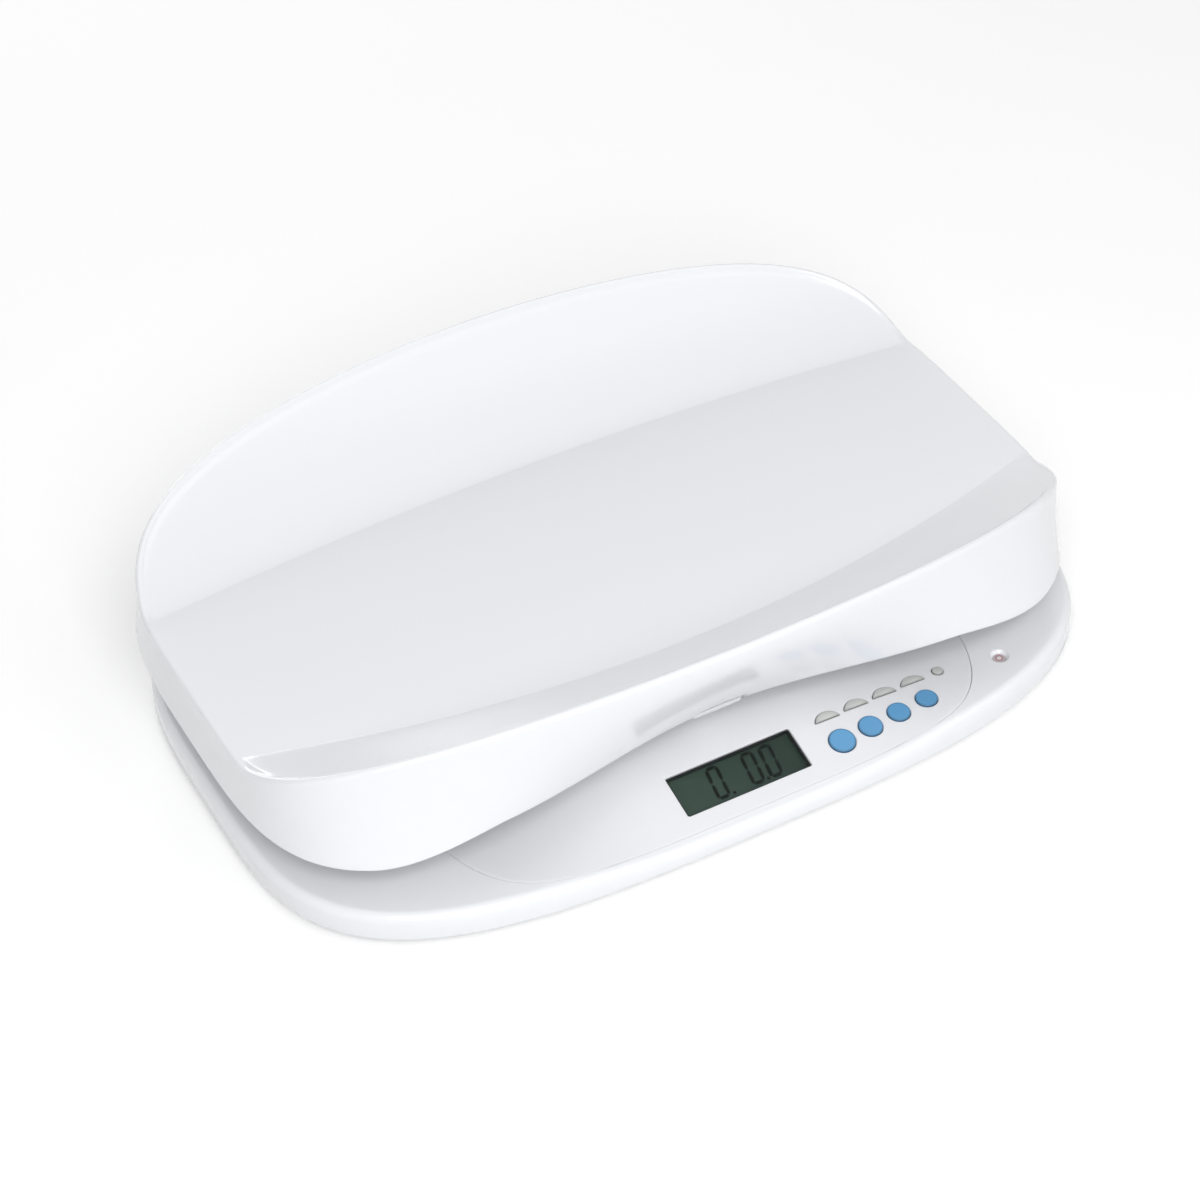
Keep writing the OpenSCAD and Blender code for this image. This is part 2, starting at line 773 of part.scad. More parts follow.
module tray_shell() {
    flat = inset(rim_line, rim_in);
    under = inset(rim_line, rim_in + tray_wall);
    skin(
        concat(
            [for (f = tray_shares) on_tray(shrink(flat, f, tray_y), 0)],
            [rim_ring(2.6, 0), rim_ring(0.9, 1)],
            [for (t = skirt_shares) skirt_ring(t, 0)],
            [for (i = [len(skirt_shares) - 1:-2:1]) skirt_ring(skirt_shares[i], tray_wall)],
            [for (i = [len(tray_shares) - 1:-1:0]) on_tray(shrink(under, tray_shares[i], tray_y), tray_wall)]),
        [0, tray_y, floor_z], [0, tray_y, floor_under]);
}

module tray() {
    color(shell_white) difference() {
        tray_shell();
        translate([-notch_w / 2, -145, skirt_z]) cube([notch_w, 25, notch_z - skirt_z]);
    }
}

socket_d = 40;
socket_gap = 1.3;
rib_h = 7;

module tray_underframe() {
    color(shell_white) difference() {
        union() {
            at_each(support_spots) translate([0, 0, floor_under - 11]) cylinder(d = socket_d, h = 11);
            for (y = support_y) translate([-support_x, y - 4, floor_under - rib_h])
                cube([2 * support_x, 8, rib_h]);
            for (x = [-support_x, -70, 70, support_x])
                translate([x - 4, support_y[0], floor_under - rib_h])
                    cube([8, support_y[1] - support_y[0], rib_h]);
        }
        at_each(support_spots) cylinder(d = pillar_d + 2 * socket_gap, h = 100);
    }
}

// ---------- release lever ----------

pivot_y = -90;
pivot_z = 61;
pin_d = 4;
ear_x = [12, 15];

module lever_bracket() {
    color(steel) difference() {
        union() {
            translate([-20, -94, floor_under - 2]) cube([40, 24, 2]);
            for (s = [-1, 1]) translate([s * (ear_x[0] + ear_x[1]) / 2, 0, 0])
                translate([-1.5, pivot_y - 5, pivot_z - 5]) cube([3, 12, floor_under - pivot_z + 5]);
        }
        translate([-30, pivot_y, pivot_z]) rotate([0, 90, 0]) cylinder(d = pin_d, h = 60);
    }
}

module lever_pin() {
    color(steel) translate([-ear_x[1] - 2, pivot_y, pivot_z]) rotate([0, 90, 0])
        cylinder(d = pin_d, h = 2 * ear_x[1] + 4);
}

module lever_spring() {
    color(steel) translate([8.8, pivot_y, pivot_z]) rotate([0, 90, 0]) difference() {
        cylinder(d = 8, h = 2.8);
        translate([0, 0, -1]) cylinder(d = pin_d + 0.4, h = 5);
    }
}

lip_top = 58.6;
lip_t = 4;
lip_y = [-129.8, -124.4];
// Radius of the lip's bowed front edge
lip_bow = 69;

module release_lever() {
    r = (lip_y[1] - lip_y[0]) / 2;
    color(panel_grey) difference() {
        union() {
            intersection() {
                union() {
                    for (s = [-1, 1]) translate([s * (lever_w / 2 - r), lip_y[0] + r, lip_top - lip_t])
                        cylinder(r = r, h = lip_t);
                    translate([-lever_w / 2 + r, lip_y[0], lip_top - lip_t])
                        cube([lever_w - 2 * r, 2 * r, lip_t]);
                }
                translate([0, lip_y[0] + lip_bow, lip_top - lip_t]) cylinder(r = lip_bow, h = lip_t, $fn = 180);
            }
            translate([-8, lip_y[1] - 1, lip_top - lip_t + 0.5]) cube([16, pivot_y - lip_y[1], 3]);
            translate([-8, pivot_y, pivot_z]) rotate([0, 90, 0]) cylinder(d = 9, h = 16);
            translate([-6, pivot_y - 2.8, pivot_z - 11]) cube([12, 3, 11]);
        }
        translate([-30, pivot_y, pivot_z]) rotate([0, 90, 0]) cylinder(d = pin_d + 0.1, h = 60);
    }
}

// ---------- nodes ----------

base_top_housing();
base_bottom_pan();
console_panel();
display_window();
lcd_module();
lcd_holder();
main_circuit_board();
key_switch_board();
key_switches();
level_bezel();
level_vial();
level_ring();
load_cell();
load_cell_plate();
load_cell_packer();
load_cell_bolts();
overload_stops();
sensor_cable();
display_cable();
power_cable();
battery_box();
batteries();
battery_contacts();
battery_door();
inlet_socket();
housing_screws();
foot_inserts();
platform_frame();
platform_spacer();
platform_bolts();
support_pads();
tray();
tray_underframe();
lever_bracket();
lever_pin();
lever_spring();
release_lever();
round_key(0);  // round_key_1
round_key(1);  // round_key_2
round_key(2);  // round_key_3
round_key(3);  // round_key_4
moon_key(0);  // moon_key_1
moon_key(1);  // moon_key_2
moon_key(2);  // moon_key_3
moon_key(3);  // moon_key_4
small_key();
foot_pad(1);  // foot_pad_1
foot_pad(2);  // foot_pad_2
foot_pad(3);  // foot_pad_3
foot_pad(4);  // foot_pad_4
foot_screw(1);  // foot_screw_1
foot_screw(2);  // foot_screw_2
foot_screw(3);  // foot_screw_3
foot_screw(4);  // foot_screw_4
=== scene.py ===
"""Digital baby weighing scale: a white trough tray on a low base with a sloped console."""

import math

import bpy
import numpy as np
from bpy.props import FloatProperty, FloatVectorProperty, IntProperty, PointerProperty
from mathutils import Matrix, Vector


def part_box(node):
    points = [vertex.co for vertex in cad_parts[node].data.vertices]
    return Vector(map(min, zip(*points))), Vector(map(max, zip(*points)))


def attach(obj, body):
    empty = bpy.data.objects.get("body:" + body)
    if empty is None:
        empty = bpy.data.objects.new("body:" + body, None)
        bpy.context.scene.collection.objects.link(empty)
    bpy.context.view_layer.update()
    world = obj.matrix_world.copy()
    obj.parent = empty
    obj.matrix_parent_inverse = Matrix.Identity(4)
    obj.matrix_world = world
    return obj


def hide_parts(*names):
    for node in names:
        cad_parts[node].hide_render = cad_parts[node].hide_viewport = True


bl_info = {
    "name": "Baby Scale",
    "version": (1, 0, 0),
    "blender": (4, 5, 0),
    "location": "3D View > Sidebar > Baby Scale",
    "description": "Builds a digital baby weighing scale over its packed parts",
    "category": "Object",
}

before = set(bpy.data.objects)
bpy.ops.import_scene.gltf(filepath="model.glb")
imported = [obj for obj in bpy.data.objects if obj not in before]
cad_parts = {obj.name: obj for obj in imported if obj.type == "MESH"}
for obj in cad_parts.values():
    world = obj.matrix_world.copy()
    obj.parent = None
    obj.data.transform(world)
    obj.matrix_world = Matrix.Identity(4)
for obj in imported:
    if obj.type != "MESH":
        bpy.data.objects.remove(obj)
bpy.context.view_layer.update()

# Shapes are worked out in millimetres, and turned to metres as they go into a mesh
MM = 0.001


def linear(code):
    """An sRGB hex colour as the linear RGB that shaders take."""
    parts = [int(code[i : i + 2], 16) / 255 for i in (1, 3, 5)]
    return tuple(v / 12.92 if v <= 0.04045 else ((v + 0.055) / 1.055) ** 2.4 for v in parts)


def length(name, description, default):
    """A size in metres that a user may change."""
    return FloatProperty(name=name, description=description, default=default, unit="LENGTH", precision=4)


def colour(name, description, default):
    """A colour that a user may change."""
    return FloatVectorProperty(
        name=name, description=description, default=linear(default), subtype="COLOR", min=0, max=1
    )


def watts(name, description, default):
    """A lamp's power that a user may change."""
    return FloatProperty(name=name, description=description, default=default, min=0, unit="POWER")


# ---------- sizes and colours ----------

BASE_LOW, BASE_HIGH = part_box("base_top_housing")


class BaseSizes(bpy.types.PropertyGroup):
    """Sizes of the base."""

    width: length("Width", "Left to right", BASE_HIGH.x - BASE_LOW.x)
    depth: length("Depth", "Front to back", BASE_HIGH.y - BASE_LOW.y)
    shelf: length("Shelf height", "Height of the flat shelf round the base", 0.024)
    plateau: length("Plateau height", "Height of the raised middle under the tray", 0.042)
    wall: length("Wall", "Thickness of the housing", 0.0025)
    edge: length("Edge radius", "Radius between the side and the top", 0.006)
    lip: length("Lip height", "Height of the lower edge", BASE_LOW.z)


class ConsoleSizes(bpy.types.PropertyGroup):
    """Sizes of the console and its keys."""

    display_w: length("Display width", "Width of the window", 0.084)
    display_h: length("Display height", "Height of the window along the slope", 0.0286)
    height: length("Height", "Height of the surface at the middle of the display", 0.0254)
    key_first: length("First key", "Distance of the first column of keys from the middle", 0.067)
    key_pitch: length("Key pitch", "From one key to the next", 0.0208)
    key_rise: length("Key rise", "How far the keys stand proud", 0.001)
    groove: length("Groove", "Gap round the panel", 0.0003)


class TraySizes(bpy.types.PropertyGroup):
    """Sizes of the tray."""

    width: length("Width", "Over the rim, left to right", 0.5444)
    depth: length("Depth", "Over the rim, front to back", 0.3464)
    middle: length("Middle", "How far the tray's middle is behind the base's", 0.012)
    floor: length("Floor height", "Height of the tray's floor", 0.084)
    wall: length("Wall", "Thickness of the tray", 0.003)
    skirt: length("Skirt height", "Height of the skirt's lower edge at the ends", 0.0465)
    arch: length("Arch", "Rise of the skirt's lower edge over the console", 0.013)


class Finishes(bpy.types.PropertyGroup):
    """Colours of the visible parts."""

    shell: colour("Shell", "Glossy white of the tray and base", "#F3F4F7")
    panel: colour("Panel", "Satin grey of the console", "#EDEEF1")
    blue: colour("Round keys", "Blue of the round keys", "#64A3D2")
    grey: colour("Half-moon keys", "Grey of the half-moon keys", "#CED2CE")
    display: colour("Display", "Grey green of the unlit display", "#3D4F46")
    ink: colour("Digits", "Dark segments of the display", "#0C1311")


class Studio(bpy.types.PropertyGroup):
    """Light and floor."""

    ambient: FloatProperty(name="Ambient", description="Brightness of the surroundings", default=0.34, min=0)
    key_light: watts("Key light", "Power of the front softbox", 51)
    back_light: watts("Back light", "Power of the low softbox behind", 30)
    side_light: watts("Side light", "Power of the softbox on the right", 11)
    focal: FloatProperty(name="Lens", description="Focal length, 36 mm sensor", default=94.135, unit="CAMERA")


class ScaleSettings(bpy.types.PropertyGroup):
    """Everything that a user may change."""

    base: PointerProperty(type=BaseSizes)
    console: PointerProperty(type=ConsoleSizes)
    tray: PointerProperty(type=TraySizes)
    finish: PointerProperty(type=Finishes)
    studio: PointerProperty(type=Studio)
    around: IntProperty(name="Detail", description="Points round an outline", default=480, min=96, max=720)


def settings():
    """The scene's settings."""
    return bpy.context.scene.baby_scale


# ---------- outlines and surfaces ----------


def smooth(t):
    """A step from 0 to 1 as 3u^2 - 2u^3, with u held between 0 and 1."""
    u = np.clip(t, 0, 1)
    return u * u * (3 - 2 * u)


def round_angles(n):
    """n even angles round a full turn, from 0."""
    return 2 * np.pi * np.arange(n) / n


def disc(n, r=1.0):
    """A circle of n points with radius r about the origin."""
    t = round_angles(n)
    return np.column_stack([np.cos(t), np.sin(t)]) * r


def superellipse(half, front, back, p, q, middle, n):
    """n points where |x/half|^p + |(y-middle)/b|^q = 1, b being front or back.

    Each ray's reach comes by Newton steps.
    """
    t = round_angles(n)
    c, s = np.cos(t), np.sin(t)
    r = np.ones(n)
    for _ in range(12):
        u, v = np.abs(r * c) ** p, np.abs(r * s) ** q
        r = r - (u + v - 1) * r / (p * u + q * v)
    return np.stack([r * half * c, middle + r * np.where(s < 0, front, back) * s], 1)


def inset(outline, d):
    """The outline moved inwards by d, square to the line between each point's neighbours."""
    u = np.roll(outline, -1, 0) - np.roll(outline, 1, 0)
    u = u / np.linalg.norm(u, axis=1, keepdims=True)
    return outline + np.stack([-u[:, 1], u[:, 0]], 1) * np.reshape(d, (-1, 1))


def lift(outline, z):
    """The outline as a ring of points at height z, one number or one for each point."""
    return np.column_stack([outline, np.broadcast_to(z, len(outline))])


def rounded(w, h, r, n=64):
    """A rectangle w by h about the origin with corners of radius r.

    Each point is a corner of the inner rectangle plus a circle's point.
    """
    t = 2 * np.pi * (np.arange(n) + 0.5) / n
    c, s = np.cos(t), np.sin(t)
    return np.column_stack([np.sign(c) * (w / 2 - r) + r * c, np.sign(s) * (h / 2 - r) + r * s])


def half_moon(w, h, n=96):
    """A round top over a flat side, about the middle of its box.

    It is an arc and its chord, with the corners eased by averaging.
    """
    radius = (h * h + w * w / 4) / (2 * h)
    reach = math.asin(min(1, w / 2 / radius))
    a = np.linspace(-reach, reach, n * 5 // 8)
    arc = np.column_stack([-radius * np.sin(a), radius * np.cos(a) - radius + h / 2])
    x = np.linspace(-w / 2, w / 2, n - len(a) + 2)[1:-1]
    line = np.vstack([arc, np.column_stack([x, np.full(len(x), -h / 2)])])
    step = np.linalg.norm(np.roll(line, -1, 0) - line, axis=1)
    s = np.concatenate([[0], np.cumsum(step)])
    even = np.linspace(0, s[-1], n, endpoint=False)
    closed = np.vstack([line, line[:1]])
    line = np.column_stack([np.interp(even, s, closed[:, 0]), np.interp(even, s, closed[:, 1])])
    for _ in range(3):
        line = (np.roll(line, 1, 0) + 2 * line + np.roll(line, -1, 0)) / 4
    return line


# ---------- meshes ----------


def loft(rings, closed=False):
    """(points, faces) over a stack of equal rings, each joined to the next.

    The ends are joined to each other, or closed by a fan to their middle. The faces are turned over if
    the signed volume is negative.
    """
    rings = np.asarray(rings, float)
    m, n = rings.shape[:2]
    points = rings.reshape(-1, 3)
    k, j = np.meshgrid(np.arange(m if closed else m - 1), np.arange(n), indexing="ij")
    a, b = k * n + j, k * n + (j + 1) % n
    up = ((k + 1) % m - k) * n
    quads = np.stack([a, b, b + up, a + up], -1).reshape(-1, 4)
    tris = np.zeros((0, 3), int)
    if not closed:
        ring = np.arange(n)
        after = (ring + 1) % n
        points = np.vstack([points, rings[0].mean(0), rings[-1].mean(0)])
        low = np.column_stack([np.full(n, m * n), after, ring])
        high = np.column_stack([np.full(n, m * n + 1), (m - 1) * n + ring, (m - 1) * n + after])
        tris = np.vstack([low, high])
    fan = np.vstack([quads[:, :3], quads[:, [0, 2, 3]], tris])
    p, q, r = (points[fan[:, i]] for i in range(3))
    if np.einsum("ij,ij->i", p, np.cross(q, r)).sum() < 0:
        quads, tris = quads[:, ::-1], tris[:, ::-1]
    return points, quads.tolist() + tris.tolist()


def turned(profile, n=64, closed=False, x=0, y=0):
    """A profile of (radius, height) pairs turned round the upright axis through (x, y)."""
    profile = np.asarray(profile, float)
    t = round_angles(n)
    r, z = profile[:, :1], profile[:, 1:]
    return loft(np.stack([x + r * np.cos(t), y + r * np.sin(t), z + 0 * t], -1), closed)


def slab(outline, z0, z1, r, steps=4):
    """The outline from height z0 to z1, with its edges rounded to radius r.

    An edge is insets of r(1-cos a) at heights of r(1-sin a).
    """
    a = np.linspace(0, np.pi / 2, steps + 1)
    ends = [(r * (1 - math.sin(v)), r * (1 - math.cos(v))) for v in a]
    low = [lift(inset(outline, d), z0 + h) for d, h in ends]
    high = [lift(inset(outline, d), z1 - h) for d, h in reversed(ends)]
    return loft(low + high)


def join(*shells):
    """Several (points, faces) as one."""
    points, faces, offset = [], [], 0
    for p, f in shells:
        points.append(p)
        faces += [[i + offset for i in face] for face in f]
        offset += len(p)
    return np.vstack(points), faces


def moved(shell, offset):
    """The shell moved by an offset."""
    return shell[0] + np.asarray(offset, float), shell[1]


def tipped(outline, y0, y1, r, x, z):
    """A slab of the outline lying along Y from y0 to y1, with the outline's middle at (x, z)."""
    points, faces = slab(outline, -y1, -y0, r)
    return points[:, [0, 2, 1]] * [1, -1, 1] + np.array([x, 0, z]), faces


def piece(name, shell, material, sharp=35):
    """A mesh object of the shell, in metres, smooth but for edges sharper than the angle."""
    mesh = bpy.data.meshes.new(name)
    mesh.from_pydata(shell[0] * MM, [], shell[1])
    mesh.shade_smooth()
    mesh.set_sharp_from_angle(angle=math.radians(sharp))
    mesh.materials.append(material)
    made = bpy.data.objects.new(name, mesh)
    bpy.context.scene.collection.objects.link(made)
    return made


def carve(target, cutters, sharp=30):
    """Cuts the closed shells out of the target and leaves the result as its mesh."""
    tool = piece(target.name + "_cutter", join(*cutters), target.data.materials[0])
    cut = target.modifiers.new("openings", "BOOLEAN")
    cut.operation = "DIFFERENCE"
    cut.solver = "EXACT"
    cut.object = tool
    bpy.context.view_layer.update()
    seen = target.evaluated_get(bpy.context.evaluated_depsgraph_get())
    mesh = bpy.data.meshes.new_from_object(seen)
    target.modifiers.clear()
    old, target.data = target.data, mesh
    mesh.name = target.name
    mesh.shade_smooth()
    mesh.set_sharp_from_angle(angle=math.radians(sharp))
    bpy.data.meshes.remove(old)
    spent = tool.data
    bpy.data.objects.remove(tool)
    bpy.data.meshes.remove(spent)
    return target


def settle(made, body, slot, *nodes):
    """The piece rides on a body and stands for CAD nodes, which are hidden; slot is not used."""
    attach(made, body)
    if nodes:
        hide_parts(*nodes)
    return made


# ---------- materials ----------


def add(tree, kind, inputs=None, **fields):
    """Adds a shader node, sets its fields, and sets or links its inputs."""
    node = tree.nodes.new(kind)
    for name, value in fields.items():
        setattr(node, name, value)
    for name, value in (inputs or {}).items():
        if isinstance(value, bpy.types.NodeSocket):
            tree.links.new(value, node.inputs[name])
        else:
            node.inputs[name].default_value = value
    return node


def rgba(value):
    """A colour socket's value from a hex code or three linear numbers."""
    return (*(linear(value) if isinstance(value, str) else value), 1.0)


def darker(value, share):
    """The colour times a share."""
    return tuple(v * share for v in value)


made_materials = {}


def material(name, build):
    """The material of that name, made by build(tree, shader, place) the first time it is asked for."""
    if name not in made_materials:
        made = bpy.data.materials.new(name)
        made.use_nodes = True
        tree = made.node_tree
        place = add(tree, "ShaderNodeTexCoord").outputs["Object"]
        build(tree, tree.nodes["Principled BSDF"], place)
        made_materials[name] = made
    return made_materials[name]


def surface(tree, shader, place, tones, rough, drift, grain, relief, **sockets):
    """Fills the shader with two drifting tones, a wandering roughness and a grain, and gives the tone's node.

    The tones drift over drift mm, and the grain is that many mm across with relief mm of height.
    """
    slow = add(tree, "ShaderNodeTexNoise", {"Vector": place, "Scale": 1000 / drift, "Detail": 2.0})
    fine = add(tree, "ShaderNodeTexNoise", {"Vector": place, "Scale": 1000 / grain, "Detail": 3.0})
    tone = add(tree, "ShaderNodeMixRGB", {0: slow.outputs["Fac"], 1: rgba(tones[0]), 2: rgba(tones[1])})
    span = {"Value": fine.outputs["Fac"], "To Min": rough[0], "To Max": rough[1]}
    gloss = add(tree, "ShaderNodeMapRange", span)
    high = {"Height": fine.outputs["Fac"], "Strength": 1.0, "Distance": relief * MM}
    bump = add(tree, "ShaderNodeBump", high)
    tree.links.new(tone.outputs[0], shader.inputs["Base Color"])
    tree.links.new(gloss.outputs[0], shader.inputs["Roughness"])
    tree.links.new(bump.outputs[0], shader.inputs["Normal"])
    for socket, value in sockets.items():
        shader.inputs[socket.replace("_", " ")].default_value = value
    return tone


def plain(name, *look, **sockets):
    """A material of that name with a surface of that look and nothing more."""

    def build(tree, shader, place):
        surface(tree, shader, place, *look, **sockets)

    return material(name, build)


def overlay(tree, shader, share, tone, second):
    """The shader's colour: the tone's node, with the second colour laid over it by the share's socket."""
    mixed = add(tree, "ShaderNodeMixRGB", {0: share, 1: tone.outputs[0], 2: rgba(second)})
    tree.links.new(mixed.outputs[0], shader.inputs["Base Color"])


def glossy_abs():
    """ABS, injection moulded in a polished tool: a clean shine with the faintest ripple."""
    white = tuple(settings().finish.shell)
    return plain("abs_polished_white", (white, darker(white, 0.985)), (0.15, 0.2), 120, 6, 0.0025, IOR=1.53)


def satin_abs():
    """ABS with a spark-eroded grain about 0.5 mm across: pale grey that spreads the light."""
    grey = tuple(settings().finish.panel)
    return plain("abs_eroded_grey", (grey, darker(grey, 0.98)), (0.36, 0.46), 90, 0.6, 0.004, IOR=1.53)


def keycap(name, tone, drift, rough, patch, grain, relief, index, start, depth):
    """A keycap's material: the tone drifts to that share, and a painted shade darkens it to the share depth
    from start out to the side.
    """

    def build(tree, shader, place):
        tones = (tone, darker(tone, drift))
        top = surface(tree, shader, place, tones, rough, patch, grain, relief, IOR=index)
        # Painted shade: the edge attribute darkens the key towards its side
        edge = add(tree, "ShaderNodeAttribute", attribute_name="edge")
        span = {"Value": edge.outputs["Fac"], "From Min": start, "From Max": 1.0}
        band = add(tree, "ShaderNodeMapRange", span, interpolation_type="SMOOTHSTEP")
        overlay(tree, shader, band.outputs[0], top, darker(tone, depth))

    return material(name, build)


def tinted_acrylic():
    """Acrylic keycaps, moulded through in blue: glossy, with a painted shade darker where the side turns
    down.
    """
    blue = tuple(settings().finish.blue)
    return keycap("acrylic_keycap_blue", blue, 0.96, (0.16, 0.22), 14, 1.5, 0.002, 1.49, 0.84, 0.42)


def grey_keycap():
    """ABS keycaps, moulded matt: soft grey, with a painted shade a little darker down the side."""
    grey = tuple(settings().finish.grey)
    return keycap("abs_keycap_grey", grey, 0.94, (0.3, 0.38), 10, 0.7, 0.003, 1.53, 0.86, 0.5)


def clear_acrylic():
    """Cast acrylic window: hardly any colour, a thin clear shine."""
    tones = ("#5C6664", "#525C59")
    return plain("acrylic_window_clear", tones, (0.03, 0.06), 30, 4, 0.0005, IOR=1.49, Alpha=0.03)


# The display's glass and its segments hardly shine, so that both read through the window
DISPLAY_SHINE = {"IOR": 1.5, "Specular_IOR_Level": 0.15}


def display_glass():
    """Liquid crystal glass over its reflector: matt grey green, with painted shade that darkens it towards
    the right, where the recess shades it.
    """
    green = tuple(settings().finish.display)

    def build(tree, shader, place):
        tones = (green, darker(green, 0.93))
        tone = surface(tree, shader, place, tones, (0.3, 0.42), 26, 0.35, 0.0003, **DISPLAY_SHINE)
        # Painted shade: the green darkens to 0.6 of itself from x = -0.03 to 0.04 m
        along = add(tree, "ShaderNodeSeparateXYZ", {0: place})
        span = {"Value": along.outputs["X"], "From Min": -0.03, "From Max": 0.04}
        shade = add(tree, "ShaderNodeMapRange", span)
        overlay(tree, shader, shade.outputs[0], tone, darker(green, 0.6))

    return material("lcd_reflector_green", build)


def display_ink():
    """Switched liquid crystal: nearly black, as matt as the glass round it."""
    dark = tuple(settings().finish.ink)
    tones = (dark, darker(dark, 0.8))
    return plain("lcd_segment_dark", tones, (0.35, 0.45), 12, 0.5, 0.0003, **DISPLAY_SHINE)


def black_polycarbonate():
    """Polycarbonate, moulded black with a light grain: used where nothing should shine."""
    return plain("polycarbonate_black", ("#1B1C1E", "#141517"), (0.4, 0.52), 20, 0.5, 0.004, IOR=1.58)


def plain_moulding():
    """ABS for inner mouldings: unpolished tool, flow lines about 8 mm apart."""
    return plain("abs_inner_moulding", ("#D4D5D8", "#C8C9CD"), (0.42, 0.55), 40, 2.0, 0.006, IOR=1.53)


def vial_acrylic():
    """Acrylic vial filled with pale spirit: glossy, faintly pink grey in this light."""
    return plain("acrylic_vial_spirit", ("#CFC6C8", "#BDB2B5"), (0.06, 0.12), 6, 2, 0.0005, IOR=1.49)


def ring_ink():
    """Printed ring: flat red ink, slightly uneven at 0.4 mm."""
    return plain("screen_ink_red", ("#B2696E", "#A25A60"), (0.35, 0.5), 3, 0.4, 0.001)


def bubble_air():
    """The air bubble: a bright glassy dome."""
    return plain("bubble_in_spirit", ("#E9E4E5", "#DDD6D8"), (0.05, 0.1), 3, 1, 0.0003, IOR=1.33)


def circuit_board():
    """Glass epoxy board under green resist: paler wavering tracks about 5 mm apart show through."""

    def build(tree, shader, place):
        tone = surface(tree, shader, place, ("#1E6B3C", "#17592F"), (0.25, 0.35), 25, 0.8, 0.003, IOR=1.55)
        wave = {"Vector": place, "Scale": 1000 / (2.5 * 2 * math.pi), "Distortion": 6.0, "Detail": 1.0}
        tracks = add(tree, "ShaderNodeTexWave", wave, bands_direction="X")
        span = {"Value": tracks.outputs["Fac"], "From Min": 0.8, "From Max": 0.86}
        line = add(tree, "ShaderNodeMapRange", span)
        overlay(tree, shader, line.outputs[0], tone, "#2F8A52")

    return material("epoxy_board_green", build)


def cable_pvc():
    """Extruded PVC: dull grey, smooth along its length."""
    return plain("pvc_cable_grey", ("#3A3C40", "#303236"), (0.4, 0.5), 15, 1.2, 0.002, IOR=1.52)


def battery_sleeve():
    """Heat-shrunk PVC on the cells: dark with a plain copper-coloured band at every 51.2 mm."""

    def build(tree, shader, place):
        tone = surface(tree, shader, place, ("#26282B", "#1D1F22"), (0.2, 0.3), 12, 1, 0.001, IOR=1.52)
        along = add(tree, "ShaderNodeSeparateXYZ", {"Vector": place})
        turn = add(tree, "ShaderNodeMath", {0: along.outputs["X"], 1: 0.0512}, operation="PINGPONG")
        span = {"Value": turn.outputs[0], "From Min": 0.04, "From Max": 0.0403}
        band = add(tree, "ShaderNodeMapRange", span)
        overlay(tree, shader, band.outputs[0], tone, "#B9794A")

    return material("pvc_battery_sleeve", build)


def milled_aluminium():
    """Milled aluminium: long tool marks along X, 0.4 mm apart, on pale metal."""

    def build(tree, shader, place):
        marks = add(tree, "ShaderNodeMapping", {"Vector": place, "Scale": (0.03, 1.0, 1.0)})
        tones = ("#C9CBCE", "#BCBEC2")
        surface(tree, shader, marks.outputs[0], tones, (0.28, 0.4), 12, 0.4, 0.003, Metallic=1.0)

    return material("aluminium_milled", build)


def cast_aluminium():
    """Die-cast aluminium: a dull skin with a 1.2 mm mottle."""
    return plain("aluminium_cast", ("#B4B6BA", "#A4A6AA"), (0.42, 0.58), 18, 1.2, 0.012, Metallic=1.0)


def zinc_steel():
    """Zinc-plated steel: bluish bright metal with fine crystals about 1 mm across."""
    return plain("steel_zinc_plated", ("#B9BDC3", "#A6ABB2"), (0.24, 0.38), 8, 1.0, 0.003, Metallic=1.0)


def turned_brass():
    """Turned brass: warm metal with rings from the tool 0.3 mm apart."""

    def build(tree, shader, place):
        rings = add(tree, "ShaderNodeMapping", {"Vector": place, "Scale": (0.1, 0.1, 1.0)})
        tones = ("#C9A35A", "#B78F48")
        surface(tree, shader, rings.outputs[0], tones, (0.22, 0.34), 10, 0.3, 0.003, Metallic=1.0)

    return material("brass_turned", build)


def moulded_rubber():
    """Rubber, compression moulded: dark grey and dry, with a 0.8 mm pebble."""
    return plain("rubber_moulded", ("#2B2C2E", "#222325"), (0.62, 0.78), 15, 0.8, 0.02, IOR=1.52)


# ---------- the base and its console ----------

# All in mm. Exponents of the base's outline, across it and along its depth
BASE_ROUND = (3.2, 3.8)
# Where the raised middle's ramps start, and how long they are
SIDE_RAMP = (235, 40)
BACK_RAMP = (140, 40)
FRONT_RAMP = (-95, 30)
# Half widths between which the console's plane gives way to the shelf, and its slope
CONSOLE_BLEND = (45, 165)
CONSOLE_SLOPE = 0.26
DISPLAY_Y = -152.5
# The panel's outline: half width, front and back depths, exponents, middle
PANEL = (180, 83, 12, 7.7, 1.8, -95)
PANEL_MIDDLE = (0, -130)
PANEL_LIP = 0.35  # the edges on both sides of the groove are eased by this much
KEY_GAP = 0.35
# The bubble level's place, and the radius of the hole for its cup
LEVEL_AT = (188.1, -145.8)
LEVEL_HOLE = 6.25
# The inlet's place on the back and the size of its opening
INLET_AT = (120, 181.6, 14.5)
INLET_HOLE = (14.6, 11.6)
# The opening over the load cell: width, depth and how far it is off the middle
CELL_HOLE = (56, 44, 45)
SCREWS = ((-246, -60), (246, -60), (-246, 75), (246, 75), (-104, 166), (104, 166))
FEET = ((-205, -118), (205, -118), (205, 118), (-205, 118))


